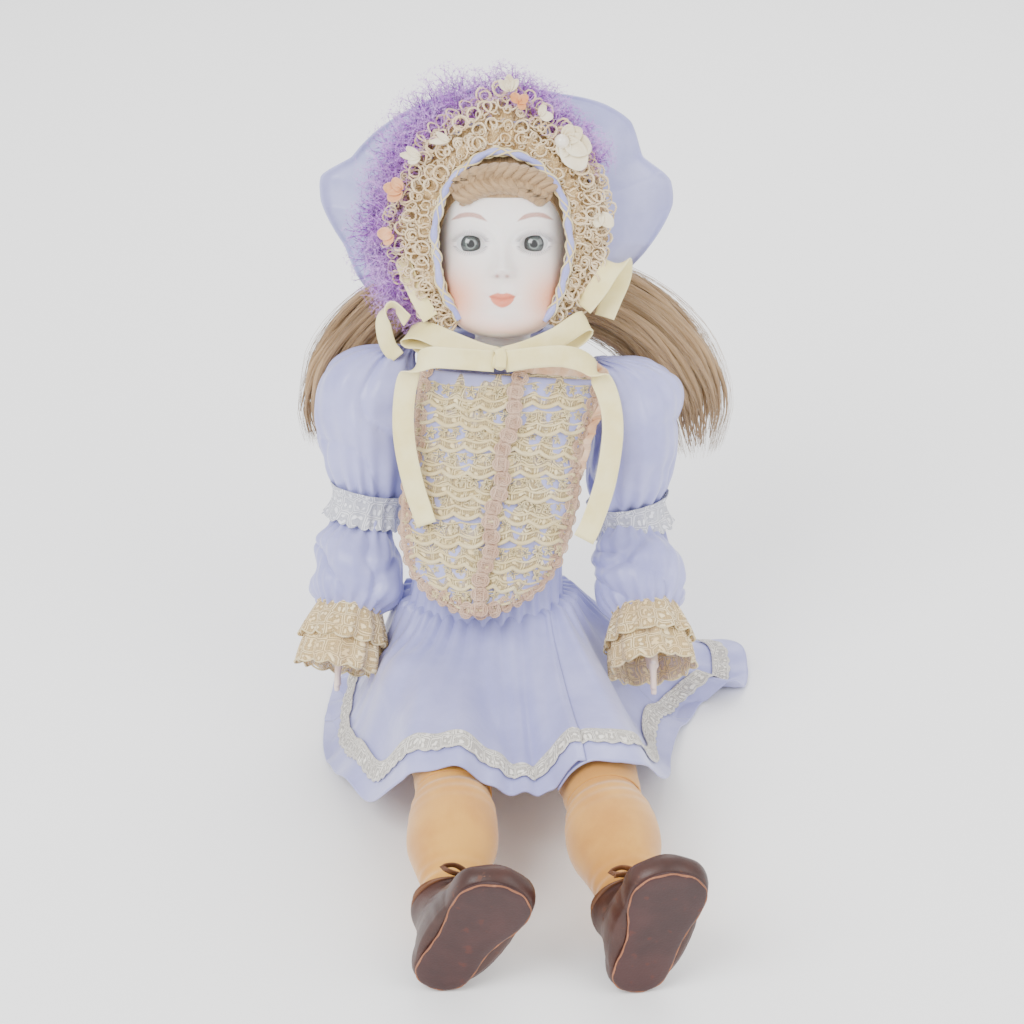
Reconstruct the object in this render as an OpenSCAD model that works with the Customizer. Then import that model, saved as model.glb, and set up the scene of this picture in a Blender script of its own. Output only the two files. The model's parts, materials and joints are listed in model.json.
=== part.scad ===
// Seated, ball-jointed porcelain doll with a bonnet, a satin dress and leather shoes.
// The origin is on the floor under the hip joints. +Z is up and the doll faces -Y.

/* [Figure] */
// Height of the hip joints above the floor
hip_height = 36; // [35:0.5:40]
// Spine length from the hip joints to the neck joint
torso_len = 203; // [170:1:245]
// Backward lean of the torso
torso_lean = 20; // [14:1:24]
// Sideways roll of the torso towards the doll's left
torso_roll = 3.5; // [0:0.5:6]
// Half width of the chest
chest_half = 46; // [40:1:50]
// Wall of the hollow torso
torso_wall = 4; // [3:0.5:6]
// Distance of each shoulder joint from the spine
shoulder_x = 66; // [64:1:74]
// Distance of each hip joint from the spine
hip_x = 38; // [36:1:42]

/* [Head] */
// Half width of the head at the cheeks
head_half = 40; // [34:1:42]
// Height of the crown above the neck joint
head_height = 124; // [110:1:140]
// Wall of the porcelain head
head_wall = 3.5; // [3:0.5:5]
// Radius of the neck ball
neck_ball_r = 17; // [15:0.5:18]
// Radius of each glass eye
eye_r = 9.3; // [8:0.1:10]
// Distance of each eye from the middle of the face
eye_x = 18; // [17:0.5:20]
// Depth of the bonnet's lace frill beyond the face opening
frill_depth = 30; // [24:1:34]

/* [Arms] */
// Shoulder to elbow
upper_arm_len = 86; // [78:1:104]
// Elbow to wrist
forearm_len = 72; // [66:1:88]
// Wrist to fingertips
hand_len = 42; // [36:1:50]
// Radius of the loose shoulder ball
shoulder_ball_r = 14; // [11.5:0.5:15]
// Radius of the elbow ball
elbow_ball_r = 11; // [9:0.5:12]
// Radius of the wrist ball
wrist_ball_r = 8; // [6.5:0.5:9]
// Radius of the upper sleeve at its fullest
sleeve_r = 29; // [24:1:32]

/* [Legs] */
// Hip to knee
thigh_len = 136; // [120:1:164]
// Knee to ankle
shin_len = 110; // [98:1:132]
// Radius of the hip ball
hip_ball_r = 22; // [20:0.5:24]
// Radius of the knee ball
knee_ball_r = 17; // [15:0.5:19]
// Radius of the calf at its fullest
calf_r = 24; // [21:0.5:27]
// Length of the shoe sole
sole_len = 86; // [76:1:100]
// Half width of the shoe sole at the toes
sole_half = 20; // [17:0.5:23]

/* [Dress] */
// Thickness of one layer of dress cloth in the solids
cloth = 2; // [1.5:0.1:2.5]
// Free gap between neighbouring pieces
gap = 0.5; // [0.4:0.1:0.8]
// Thickness of the petticoat layers that the doll sits on
seat_pad = 6; // [4:0.5:6.5]

/* [Hidden] */
$fn = 48;

// Sides of the doll: right is -X and left is +X
RIGHT = 0;
LEFT = 1;
SIDE_X = [-1, 1];

// Rest pose of the limbs, right side then left side, in degrees
ARM_SWING = [8, 13];
ARM_LIFT = [7, 13];
ELBOW_BEND = [25, 44];
WRIST_BACK = [8, 20];
LEG_YAW = [10, 12];
LEG_ROLL = [27, 12];
THIGH_RISE = [6, 6];
KNEE_BEND = [20.5, 16.5];

shoulder_z = torso_len - 23;
socket_gap = 0.3;

// ---------------------------------------------------------------- frames

module torso_frame() {
    translate([0, 0, hip_height]) rotate([-torso_lean, 0, 0]) rotate([0, torso_roll, 0]) children();
}

module head_frame() {
    torso_frame() translate([0, 0, torso_len]) rotate([0, -torso_roll, 0]) children();
}

module shoulder_frame(side) {
    torso_frame() translate([SIDE_X[side] * shoulder_x, 0, shoulder_z])
        rotate([ARM_SWING[side], 0, 0]) children();
}

module arm_frame(side) {
    shoulder_frame(side) rotate([0, -SIDE_X[side] * ARM_LIFT[side], 0]) children();
}

module elbow_frame(side) {
    arm_frame(side) translate([0, 0, -upper_arm_len]) rotate([-ELBOW_BEND[side], 0, 0]) children();
}

module wrist_frame(side) {
    elbow_frame(side) translate([0, 0, -forearm_len]) rotate([WRIST_BACK[side], 0, 0]) children();
}

// Leg frames run along +Z to the foot, with +Y at the front of the knee and over the toes
module hip_frame(side) {
    torso_frame() translate([SIDE_X[side] * hip_x, 0, 0])
        rotate([0, -torso_roll, 0]) rotate([torso_lean, 0, 0])
        rotate([0, 0, LEG_YAW[side]]) rotate([-THIGH_RISE[side], 0, 0]) children();
}

module leg_frame(side) {
    hip_frame(side) rotate([0, LEG_ROLL[side], 0]) rotate([90, 0, 0]) children();
}

module knee_frame(side) {
    leg_frame(side) translate([0, 0, thigh_len]) rotate([KNEE_BEND[side], 0, 0]) children();
}

// ---------------------------------------------------------------- shape helpers

function unit(v) = v / norm(v);

function oval(cx, cy, z, rx, ry, n = 24) =
    [for (i = [0 : n - 1]) [cx + rx * cos(i * 360 / n), cy + ry * sin(i * 360 / n), z]];

// Closed solid through a stack of rings that run anticlockwise seen from the last ring
module skin(rings) {
    n = len(rings[0]);
    m = len(rings);
    sides = [for (i = [0 : m - 2], j = [0 : n - 1])
        let (a = i * n + j, b = i * n + (j + 1) % n)
        each [[a, a + n, b + n], [a, b + n, b]]];
    first_cap = [for (j = [0 : n - 1]) j];
    last_cap = [for (j = [n - 1 : -1 : 0]) (m - 1) * n + j];
    polyhedron(points = [for (r = rings) each r], faces = concat(sides, [first_cap, last_cap]));
}

// Closed ring-shaped solid: the last ring joins the first
module loop_skin(rings) {
    n = len(rings[0]);
    m = len(rings);
    polyhedron(points = [for (r = rings) each r], faces = [for (i = [0 : m - 1], j = [0 : n - 1])
        let (k = (i + 1) % m, a = i * n + j, b = i * n + (j + 1) % n, c = k * n + j, d = k * n + (j + 1) % n)
        each [[a, c, d], [a, d, b]]]);
}

// One ring of a swept strip or tube: half sizes w (sideways) and h (along the surface normal)
function sweep_ring(p, t, ref, w, h, n) =
    let (u = unit(cross(t, ref)), v = cross(t, u))
    [for (i = [0 : n - 1]) p + w * cos(i * 360 / n) * u + h * sin(i * 360 / n) * v];

function tangent_at(path, i) =
    unit(path[min(i + 1, len(path) - 1)] - path[max(i - 1, 0)]);

// Solid swept along a path; sizes holds one [w, h] for each point
module sweep(path, sizes, ref, n = 10) {
    skin([for (i = [0 : len(path) - 1])
        sweep_ring(path[i], tangent_at(path, i), ref, sizes[i][0], sizes[i][1], n)]);
}

// Round solid along +Z through [z, radius] stations
module turned(stations) {
    last = len(stations) - 1;
    rotate_extrude()
        polygon(concat([[0, stations[0][0]]], [for (s = stations) [s[1], s[0]]], [[0, stations[last][0]]]));
}

// Round wall along +Z through [z, inner radius, outer radius] stations
module turned_wall(stations) {
    rotate_extrude() polygon(concat(
        [for (s = stations) [s[2], s[0]]],
        [for (i = [len(stations) - 1 : -1 : 0]) [stations[i][1], stations[i][0]]]));
}

// Point on an arch in the face plane: 0 degrees is over the top, positive towards the doll's left
function arch_point(a, rx, rz, y, cz) = [rx * sin(a), y, cz + rz * cos(a)];

// Plate that follows an arch, from an inner edge to an outer edge
module arch_plate(inner, outer, thick, span, cz, n = 24) {
    skin([for (i = [0 : n]) let (a = span - i * 2 * span / n)
        [arch_point(a, inner[0], inner[1], inner[2], cz),
         arch_point(a, outer[0], outer[1], outer[2], cz),
         arch_point(a, outer[0], outer[1], outer[2] + thick, cz),
         arch_point(a, inner[0], inner[1], inner[2] + thick, cz)]]);
}

// ---------------------------------------------------------------- torso and dress body

// Torso outline: [share of the spine, half width, half depth]
TORSO = [[-0.10, 0.95, 0.66], [0.03, 1.10, 0.74], [0.15, 1.04, 0.72], [0.30, 0.92, 0.64], [0.45, 0.90, 0.62],
    [0.60, 0.96, 0.66], [0.74, 1.00, 0.66], [0.84, 1.00, 0.60], [0.90, 0.92, 0.52], [0.945, 0.62, 0.46],
    [0.96, 0.50, 0.44]];

function torso_rings(grow, from = 0, to = len(TORSO) - 1, n = 32) =
    [for (i = [from : to]) oval(0, 0, TORSO[i][0] * torso_len,
        TORSO[i][1] * chest_half + grow, TORSO[i][2] * chest_half + grow, n)];

module torso_shell() {
    color([0.86, 0.70, 0.60]) torso_frame() difference() {
        skin(torso_rings(0));
        skin(torso_rings(-torso_wall, 1, 9));
        for (s = SIDE_X) {
            translate([s * hip_x, 0, 0]) sphere(r = hip_ball_r + socket_gap);
            translate([s * hip_x, 0, -60]) cylinder(h = 60, r = hip_ball_r + 5);
            translate([s * shoulder_x, 0, shoulder_z]) sphere(r = shoulder_ball_r + socket_gap);
        }
        translate([0, 0, torso_len]) sphere(r = neck_ball_r + socket_gap);
        // leg openings slope up towards the front, so that the thighs can sit
        rotate([-52, 0, 0]) translate([0, 0, -60 + 4]) cube([200, 300, 120], center = true);
        // holes for the cords
        translate([0, 0, shoulder_z]) rotate([0, 90, 0]) cylinder(h = 2 * shoulder_x, r = 4, center = true);
        translate([0, 0, torso_len - 35]) cylinder(h = 40, r = 6.5);
    }
}

module arm_elastic() {
    color([0.93, 0.92, 0.88]) torso_frame() translate([0, 0, shoulder_z]) rotate([0, 90, 0])
        cylinder(h = 2 * (shoulder_x - shoulder_ball_r / 2), r = 2, center = true);
}

module leg_elastic() {
    hook_low = [0, 0, torso_len - 53];
    color([0.93, 0.92, 0.88]) torso_frame() for (s = SIDE_X) {
        foot = [s * (hip_x - 12), 4, hip_ball_r + 4];
        start = hook_low + [s * 4, 0, 0];
        sweep([start, foot], [[2, 2], [2, 2]], [0, 1, 0], 12);
    }
}

module neck_hook() {
    top = torso_len;
    color([0.62, 0.63, 0.65]) torso_frame()
        sweep([[0, 0, top + 12], [0, 0, top - 4], [0, -3, top - 12], [0, -6, top - 20], [0, -7, top - 32],
            [0, -3, top - 41], [0, 0, top - 50]],
            [for (i = [0 : 6]) [1.2, 1.2]], [1, 0, 0], 10);
}

bodice_from = 2;
bodice_to = 6;

module dress_bodice() {
    color([0.72, 0.70, 0.84]) torso_frame() loop_skin(concat(
        torso_rings(gap + cloth, bodice_from, bodice_to),
        [for (i = [bodice_to : -1 : bodice_from]) torso_rings(gap, i, i)[0]]));
}

// Front panel station: height along the spine, sideways shift, half width and how far it stands forward
BIB = [[0.26, -6, 19, 17], [0.33, -5, 39, 12], [0.42, -4, 47, 8], [0.55, -2, 49, 4], [0.70, 1, 47, 3],
    [0.82, 4, 50, 3], [0.91, 7, 50, 3]];
bib_inner = gap * 2 + cloth;

bib_depth = 0.72 * chest_half;

function bib_y(x, half, stand, grow) = -(bib_depth + stand + grow) * sqrt(max(0, 1 - pow(x / (half * 1.35), 2)));

function bib_ring(s, near, far, half_grow = 0, n = 12) =
    let (half = s[2] + half_grow)
    concat(
        [for (i = [0 : n]) let (x = -half + i * 2 * half / n) [x + s[1], bib_y(x, s[2], s[3], far), s[0] * torso_len]],
        [for (i = [n : -1 : 0]) let (x = -half + i * 2 * half / n)
            [x + s[1], bib_y(x, s[2], s[3], near), s[0] * torso_len]]);

module bib_panel() {
    color([0.87, 0.84, 0.82]) torso_frame() skin([for (s = BIB) bib_ring(s, bib_inner, bib_inner + cloth)]);
}

braid_half = 4;
braid_thick = 1.6;

module bib_braid() {
    near = bib_inner + cloth + gap / 2;
    color([0.80, 0.63, 0.60]) torso_frame() skin([for (s = BIB)
        bib_ring(s, near, near + braid_thick, braid_half - s[2], 4)]);
}

module neck_ruffle() {
    z = torso_len * 0.93;
    inner = 0.5 * chest_half + neck_ball_r * 0.5;
    color([0.93, 0.80, 0.74]) torso_frame() loop_skin([
        oval(0, -6, z, inner + 9, inner + 5, 36),
        oval(0, -8, z + 5, inner + 13, inner + 11, 36),
        oval(0, -8, z + 5 + cloth, inner + 11, inner + 9, 36),
        oval(0, -6, z + cloth, inner + 7, inner + 3, 36)]);
}

// ---------------------------------------------------------------- skirt

seat_rx = 78;
seat_front = -34;
seat_back = 78;

module petticoat() {
    color([0.90, 0.87, 0.84]) skin([
        oval(8, (seat_front + seat_back) / 2, 0, seat_rx, (seat_back - seat_front) / 2, 40),
        oval(8, (seat_front + seat_back) / 2, seat_pad * 0.6, seat_rx, (seat_back - seat_front) / 2, 40),
        oval(8, (seat_front + seat_back) / 2, seat_pad, seat_rx - 6, (seat_back - seat_front) / 2 - 6, 40)]);
}

// Skirt stations from the hem up: share of the way out from the waist to the hem, and height
SKIRT = [[1.00, 0], [0.98, 10], [0.86, 15], [0.58, 23], [0.32, 33], [0.10, 50], [0, 76]];
skirt_wall = 4;
waist_centre = [3, 26];
hem_centre = [30, 24];

// Direction of a point of the skirt, from the doll's right front (0) round the back to its left front (1)
function skirt_angle(t) = 195 - t * 217;

function hem_point(a) =
    hem_centre + [(a > 90 ? 132 : 142) * cos(a), (sin(a) > 0 ? 86 : 84) * sin(a)];

function waist_point(a) = waist_centre + [(chest_half + 11) * cos(a), (chest_half - 5) * sin(a)];

function skirt_point(a, out, z, inset) =
    let (w = waist_point(a), h = hem_point(a), p = w + (h - w) * out, q = p - unit(h - w) * inset)
    [q[0], q[1], z];

module skirt_back() {
    n = 40;
    last = len(SKIRT) - 1;
    color([0.72, 0.70, 0.85]) skin([for (i = [0 : n]) let (a = skirt_angle(i / n)) concat(
        [for (s = SKIRT) skirt_point(a, s[0], s[1], 0)],
        [for (k = [last : -1 : 0]) skirt_point(a, SKIRT[k][0], SKIRT[k][1], skirt_wall)])]);
}

lap_wall = 3;

// Half-round flap over one thigh, in the hip's frame before the leg turns on itself
module skirt_lap(side) {
    n = 14;
    color([0.72, 0.70, 0.85]) hip_frame(side)
        skin([for (s = [[-46, 35, 33], [-80, 36, 35], [-120, 38, 35], [-158, 39, 33]]) concat(
            [for (i = [0 : n]) let (a = i * 180 / n) [s[1] * cos(a), s[0], s[2] * sin(a)]],
            [for (i = [n : -1 : 0]) let (a = i * 180 / n)
                [(s[1] - lap_wall) * cos(a), s[0], (s[2] - lap_wall) * sin(a) - 1]])]);
}

// ---------------------------------------------------------------- head

// Head outline: [share of the height, middle depth, half width, half depth], as shares of head_half
HEAD = [[0.02, -0.05, 0.40, 0.40], [0.065, -0.25, 0.55, 0.80], [0.11, -0.30, 0.75, 0.97], [0.20, -0.20, 0.90, 1.07],
    [0.32, -0.12, 0.98, 1.14], [0.47, -0.07, 1.00, 1.15], [0.65, -0.05, 0.98, 1.14], [0.79, 0, 0.88, 1.02],
    [0.88, 0.05, 0.70, 0.82], [0.95, 0.1, 0.45, 0.55], [1.00, 0.1, 0.15, 0.2]];
HEAD_LAST_WALL = 7;

function head_rings(grow, from = 0, to = len(HEAD) - 1, n = 28) =
    [for (i = [from : to]) oval(0, HEAD[i][1] * head_half, HEAD[i][0] * head_height,
        HEAD[i][2] * head_half + grow, HEAD[i][3] * head_half + grow, n)];

eye_z = 0.47 * head_height;
eye_y = -1.10 * head_half + eye_r - 0.8;

module eye_opening() {
    linear_extrude(height = 30) polygon([for (i = [0 : 15]) [7.7 * cos(i * 22.5), 4.5 * sin(i * 22.5)]]);
}

module head_shell() {
    color([0.95, 0.92, 0.90]) head_frame() difference() {
        union() {
            skin(head_rings(0, 0, HEAD_LAST_WALL));
            sphere(r = neck_ball_r);
        }
        skin(head_rings(-head_wall, 1, HEAD_LAST_WALL));
        translate([0, 0, HEAD[HEAD_LAST_WALL][0] * head_height - 1]) linear_extrude(height = 3)
            scale([HEAD[HEAD_LAST_WALL][2] * head_half - head_wall, HEAD[HEAD_LAST_WALL][3] * head_half - head_wall])
            circle(r = 1, $fn = 28);
        translate([0, -1, 2]) cylinder(h = 12, r = 11.5);
        translate([0, 0, -neck_ball_r - 1]) cylinder(h = 24, r = 6.5);
        for (s = SIDE_X) {
            translate([s * eye_x, eye_y, eye_z]) sphere(r = eye_r + gap / 2);
            translate([s * eye_x, eye_y, eye_z]) rotate([90, 0, 0]) eye_opening();
        }
    }
}

module neck_button() {
    color([0.78, 0.62, 0.42]) head_frame() translate([0, -1, 2 + gap / 2]) difference() {
        turned([[0, 10.8], [4, 10.8], [6.5, 8]]);
        translate([0, 1, -1]) cylinder(h = 10, r = 1.8);
    }
}

module glass_eyes() {
    color([0.55, 0.60, 0.55]) head_frame() for (s = SIDE_X) translate([s * eye_x, eye_y, eye_z]) sphere(r = eye_r);
}

module eye_setting() {
    color([0.92, 0.91, 0.87]) head_frame() difference() {
        translate([-eye_x - 6, eye_y + 3, eye_z - 6]) cube([2 * eye_x + 12, 10, 12]);
        for (s = SIDE_X) translate([s * eye_x, eye_y, eye_z]) sphere(r = eye_r + gap / 4);
    }
}

module pate() {
    color([0.72, 0.56, 0.38]) head_frame() difference() {
        translate([0, 0, gap]) skin(head_rings(0, HEAD_LAST_WALL));
        translate([0, 0, gap - 2]) skin(head_rings(-2, HEAD_LAST_WALL, 9));
        translate([0, 0, HEAD[HEAD_LAST_WALL][0] * head_height - 3]) cylinder(h = 3 + gap, r = 60);
    }
}

wig_t = 3;

module wig_cap() {
    color([0.66, 0.56, 0.44]) head_frame() difference() {
        skin([for (i = [3 : len(HEAD) - 1]) oval(0, HEAD[i][1] * head_half + 1, HEAD[i][0] * head_height
            + (i > 8 ? wig_t + 1 : 0), HEAD[i][2] * head_half + wig_t + gap + (i > 8 ? 3 : 0),
            HEAD[i][3] * head_half + wig_t + gap + (i > 8 ? 3 : 0), 28)]);
        skin(concat([oval(0, HEAD[2][1] * head_half, HEAD[2][0] * head_height, HEAD[2][2] * head_half,
            HEAD[2][3] * head_half, 28)], [for (i = [3 : len(HEAD) - 1]) oval(0, HEAD[i][1] * head_half,
            HEAD[i][0] * head_height + (i > 7 ? 2 * gap : 0), HEAD[i][2] * head_half + gap + (i > 8 ? 1 : 0),
            HEAD[i][3] * head_half + gap + (i > 8 ? 1 : 0), 28)]));
        // the hairline runs from the forehead down behind the ears
        rotate([-38, 0, 0]) translate([-60, -100, -40]) cube([120, 100, 120]);
    }
}

braid_r = 6;

module forehead_braid() {
    n = 20;
    color([0.68, 0.60, 0.48]) head_frame()
        sweep([for (i = [0 : n]) let (a = -54 + i * 108 / n)
            [head_half * sin(a) * 0.84, -(1.14 * head_half + braid_r + 1) + 20 * (1 - cos(a)),
                0.40 * head_height + (0.38 * head_height) * cos(a * 0.9)]],
            [for (i = [0 : n]) [braid_r, braid_r]], [0, 1, 0], 10);
}

HAIR_PATH = [
    [[-42, 118, 240], [-66, 112, 222], [-86, 102, 200], [-100, 98, 168], [-104, 94, 140]],
    [[66, 118, 240], [96, 114, 226], [124, 108, 206], [138, 104, 168], [136, 98, 132]]];
HAIR_SIZE = [[[12, 9], [18, 11], [20, 12], [17, 11], [8, 6]], [[14, 9], [22, 11], [24, 13], [22, 12], [9, 7]]];

module hair_bunch(side) {
    color([0.68, 0.60, 0.48]) sweep(HAIR_PATH[side], HAIR_SIZE[side], [0, 1, 0], 14);
}

// ---------------------------------------------------------------- bonnet

bonnet_cz = 62;
opening_rx = 38;
opening_rz = 50;

module bonnet_crown() {
    outer = [[-14, 54, 66], [20, 56, 68], [46, 52, 62], [60, 40, 48], [69, 18, 22]];
    color([0.76, 0.74, 0.86]) head_frame() difference() {
        rotate([-90, 0, 0]) skin([for (s = outer) oval(0, -bonnet_cz - 4, s[0], s[1], s[2], 32)]);
        rotate([-90, 0, 0]) skin([for (s = outer)
            oval(0, -bonnet_cz - 4, s[0] - cloth * 1.2, s[1] - cloth, s[2] - cloth, 32)]);
        // the rim leans forwards from the nape to the top of the head
        translate([0, 24, 0]) rotate([13, 0, 0]) translate([-80, -100, -60]) cube([160, 100, 240]);
    }
}

module bonnet_brim() {
    color([0.77, 0.76, 0.87]) head_frame()
        arch_plate([58, 76, 2], [98, 90, 30], 2.5, 100, bonnet_cz, 28);
}

module bonnet_frill() {
    color([0.82, 0.74, 0.64]) head_frame()
        arch_plate([opening_rx + 3, opening_rz + 3, -38], [opening_rx + frill_depth, opening_rz + frill_depth, -22],
            6, 128, bonnet_cz, 28);
}

module bonnet_cord() {
    n = 32;
    color([0.70, 0.68, 0.84]) head_frame()
        sweep([for (i = [0 : n]) arch_point(-135 + i * 270 / n, opening_rx, opening_rz, -42, bonnet_cz)],
            [for (i = [0 : n]) [2.6, 2.6]], [0, 1, 0], 8);
}

module feather_trim() {
    n = 24;
    color([0.72, 0.52, 0.80]) head_frame()
        sweep([for (i = [0 : n]) arch_point(-118 + i * 172 / n, opening_rx + frill_depth + 1,
            opening_rz + frill_depth + 1, -8, bonnet_cz)],
            [for (i = [0 : n]) [7, 5]], [0, 1, 0], 8);
}

module bonnet_flowers() {
    spots = [-62, -44, 4, 52];
    color([0.90, 0.68, 0.55]) head_frame() for (a = spots)
        translate(arch_point(a, opening_rx + frill_depth - 6, opening_rz + frill_depth - 6, -30, bonnet_cz))
            rotate([90, 0, 0]) turned([[0, 4], [2.5, 6], [4.5, 3]]);
}

module pearl_bead() {
    color([0.94, 0.92, 0.88]) head_frame()
        translate(arch_point(36, opening_rx + frill_depth - 6, opening_rz + frill_depth - 6, -33.5, bonnet_cz))
            sphere(r = 4.2);
}

// ---------------------------------------------------------------- ribbons

ribbon_half = 6.5;
ribbon_t = 1;
knot = [-4, -62, -6];

module chin_bow() {
    color([0.94, 0.88, 0.74]) head_frame() {
        translate(knot) rotate([90, 0, 0]) turned([[-4, 5], [0, 7], [4, 5]]);
        for (s = SIDE_X)
            sweep([knot + [s * 7.6, 2, 1], knot + [s * 24, 6, 6], knot + [s * 42, 14, 10], knot + [s * 50, 20, 8]],
                [[3, 4], [3.5, 7.5], [3.5, 8], [2, 5]], [0, 1, 0], 10);
    }
}

TAIL_PATH = [
    [[4, 4, 224], [-14, -2, 214], [-28, -6, 200], [-34, -12, 184]],
    [[22, 4, 224], [44, -2, 216], [62, -4, 200], [66, -10, 178], [62, -16, 160]]];

module ribbon_tail(side) {
    path = TAIL_PATH[side];
    color([0.94, 0.88, 0.74])
        sweep(path, [for (p = path) [ribbon_t, ribbon_half]], [0, 1, 0], 8);
}

// ---------------------------------------------------------------- arms

cord_hole_r = 2.6;

module shoulder_ball(side) {
    first = asin(cord_hole_r / shoulder_ball_r);
    color([0.86, 0.70, 0.60]) shoulder_frame(side) rotate([0, 90, 0]) rotate_extrude()
        polygon([for (i = [0 : 16]) let (a = first + i * (180 - 2 * first) / 16)
            shoulder_ball_r * [sin(a), cos(a)]]);
}

upper_arm_r = 14;
elbow_r = 12;
forearm_r = 13;
wrist_r = 9.5;

module upper_arm(side) {
    color([0.86, 0.70, 0.60]) arm_frame(side) difference() {
        turned([[-upper_arm_len + 6.5, elbow_r], [-upper_arm_len * 0.7, elbow_r + 1], [-upper_arm_len * 0.4, upper_arm_r],
            [-8, upper_arm_r], [-6, upper_arm_r - 2]]);
        sphere(r = shoulder_ball_r + socket_gap);
        translate([0, 0, -upper_arm_len]) sphere(r = elbow_ball_r + socket_gap);
    }
}

module forearm(side) {
    color([0.86, 0.70, 0.60]) elbow_frame(side) difference() {
        union() {
            sphere(r = elbow_ball_r);
            turned([[-forearm_len + 1, wrist_r], [-forearm_len * 0.6, forearm_r], [-forearm_len * 0.36, forearm_r],
                [-elbow_ball_r - 4, elbow_ball_r - 2.5], [-elbow_ball_r + 4, elbow_ball_r * 0.7]]);
        }
        translate([0, 0, -forearm_len]) sphere(r = wrist_ball_r + socket_gap);
    }
}

module hand(side) {
    palm_half = 9;
    finger_r = 2.3;
    color([0.93, 0.82, 0.78]) wrist_frame(side) {
        sphere(r = wrist_ball_r);
        skin([for (s = [[-24, 4.5, palm_half], [-18, 5.5, palm_half], [-10, 6, 8], [-4, 5, 5]])
            oval(0, 0, s[0], s[1], s[2], 16)]);
        for (k = [-1.5 : 1 : 1.5])
            translate([0, k * 4.6, -22]) rotate([k * 3, 0, 0]) turned([
                [-(hand_len - 22) + abs(k + 0.5) * 2, 1.2], [-(hand_len - 22) + 2 + abs(k + 0.5) * 2, finger_r], [0, finger_r]]);
        translate([0, -6, -12]) rotate([-38, 0, 0]) turned([[-17, 1.3], [-15, 2.5], [0, 2.8]]);
    }
}

sleeve_wall = 2;

// Puffed cloth tube round a limb; stations hold [z, half width, half depth, outward shift]
module puff(side, stations) {
    s = SIDE_X[side];
    loop_skin(concat(
        [for (p = stations) oval(s * p[3], 0, p[0], p[1], p[2], 28)],
        [for (i = [len(stations) - 1 : -1 : 0]) let (p = stations[i])
            oval(s * p[3], 0, p[0], p[1] - sleeve_wall, p[2] - sleeve_wall, 28)]));
}

module sleeve_upper(side) {
    r = sleeve_r;
    color([0.70, 0.70, 0.86]) arm_frame(side) difference() {
        puff(side, [
        [-upper_arm_len * 0.84, 20, 20, 0], [-upper_arm_len * 0.72, r - 3, r - 3, 3],
        [-upper_arm_len * 0.45, r, r, 8], [-upper_arm_len * 0.18, r + 0.5, r, 12],
        [2, r - 2, r - 5, 9.5], [12, r - 7, r - 11, 5], [17, 14, 14, 0]]);
        rotate([0, -SIDE_X[side] * 90, 0]) cylinder(h = 40, r = 8);
    }
}

module sleeve_band(side) {
    color([0.88, 0.84, 0.78]) arm_frame(side)
        translate([0, 0, -upper_arm_len]) turned_wall([[4, 17, 22], [12 - gap, 17, 21]]);
}

module sleeve_lower(side) {
    r = sleeve_r + 1;
    color([0.70, 0.70, 0.86]) elbow_frame(side) puff(side, [
        [-forearm_len * 0.86, 19, 19, 0], [-forearm_len * 0.66, r - 1, r - 2, 0],
        [-forearm_len * 0.42, r, r - 1, 0], [-forearm_len * 0.28, r - 6, r - 7, 0], [-16, 16, 15.5, 0]]);
}

module cuff_lace(side) {
    color([0.91, 0.87, 0.80]) elbow_frame(side) turned_wall([
        [-forearm_len - 22, 19, 25], [-forearm_len - 8, 17, 22], [-forearm_len * 0.86 - gap, 15, 17.5]]);
}

// ---------------------------------------------------------------- legs

thigh_r = 26;

module thigh(side) {
    color([0.86, 0.70, 0.60]) leg_frame(side) difference() {
        union() {
            sphere(r = hip_ball_r);
            turned([[8, hip_ball_r - 3], [26, thigh_r - 2], [60, thigh_r], [100, thigh_r - 2], [thigh_len - 12, 21],
                [thigh_len - 3, 19.5]]);
        }
        translate([0, 0, thigh_len]) sphere(r = knee_ball_r + socket_gap);
        // room behind the knee
        translate([0, 0, thigh_len]) rotate([50, 0, 0]) translate([-40, -40, -3]) cube([80, 80, 60]);
    }
}

ankle_r = 13;
sole_y = shin_len + 25;
sole_t = 4;
shoe_wall = 1.6;
heel_back = -24;

// Station along the leg down to the sole: [z, middle, half width, half length] of shoe and foot
function shoe_stations() = let (toe = heel_back + sole_len, mid = (heel_back + toe) / 2)
    [[sole_y - sole_t - gap, mid, sole_half - 1, sole_len / 2 - 1.5], [sole_y - 12, mid, sole_half, sole_len / 2 - 1],
     [sole_y - 20, mid - 5, sole_half - 2, sole_len / 2 - 8], [sole_y - 27, mid - 14, sole_half - 4, sole_len / 2 - 18],
     [sole_y - 37, -3, ankle_r + 5, 20]];

function shoe_rings(grow, last = 4) = [for (i = [last : -1 : 0]) let (s = shoe_stations()[i])
    oval(0, s[1], s[0], s[2] + grow, s[3] + grow, 28)];

module shin(side) {
    color([0.86, 0.70, 0.60]) knee_frame(side) {
        sphere(r = knee_ball_r);
        turned([[8, knee_ball_r - 3], [knee_ball_r + 3, 16], [shin_len * 0.32, calf_r - 2],
            [shin_len * 0.48, calf_r - 1.5], [shin_len * 0.78, ankle_r + 1], [shin_len - 4, ankle_r]]);
        inset = -shoe_wall - gap;
        skin(concat([oval(0, -2, sole_y - 40, ankle_r - 1, ankle_r - 1, 28)], shoe_rings(inset)));
    }
}

stocking_t = 1;

module stocking(side) {
    t = stocking_t;
    g = gap / 2;
    stations = [[knee_ball_r + 6, 17], [shin_len * 0.32, calf_r - 2], [shin_len * 0.48, calf_r - 1.5],
        [shin_len * 0.76, ankle_r + 1.6], [shin_len - 18, ankle_r + 1]];
    color([0.83, 0.66, 0.38]) knee_frame(side)
        turned_wall([for (s = stations) [s[0], s[1] + g + 0.3, s[1] + g + 0.3 + t]]);
}

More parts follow.
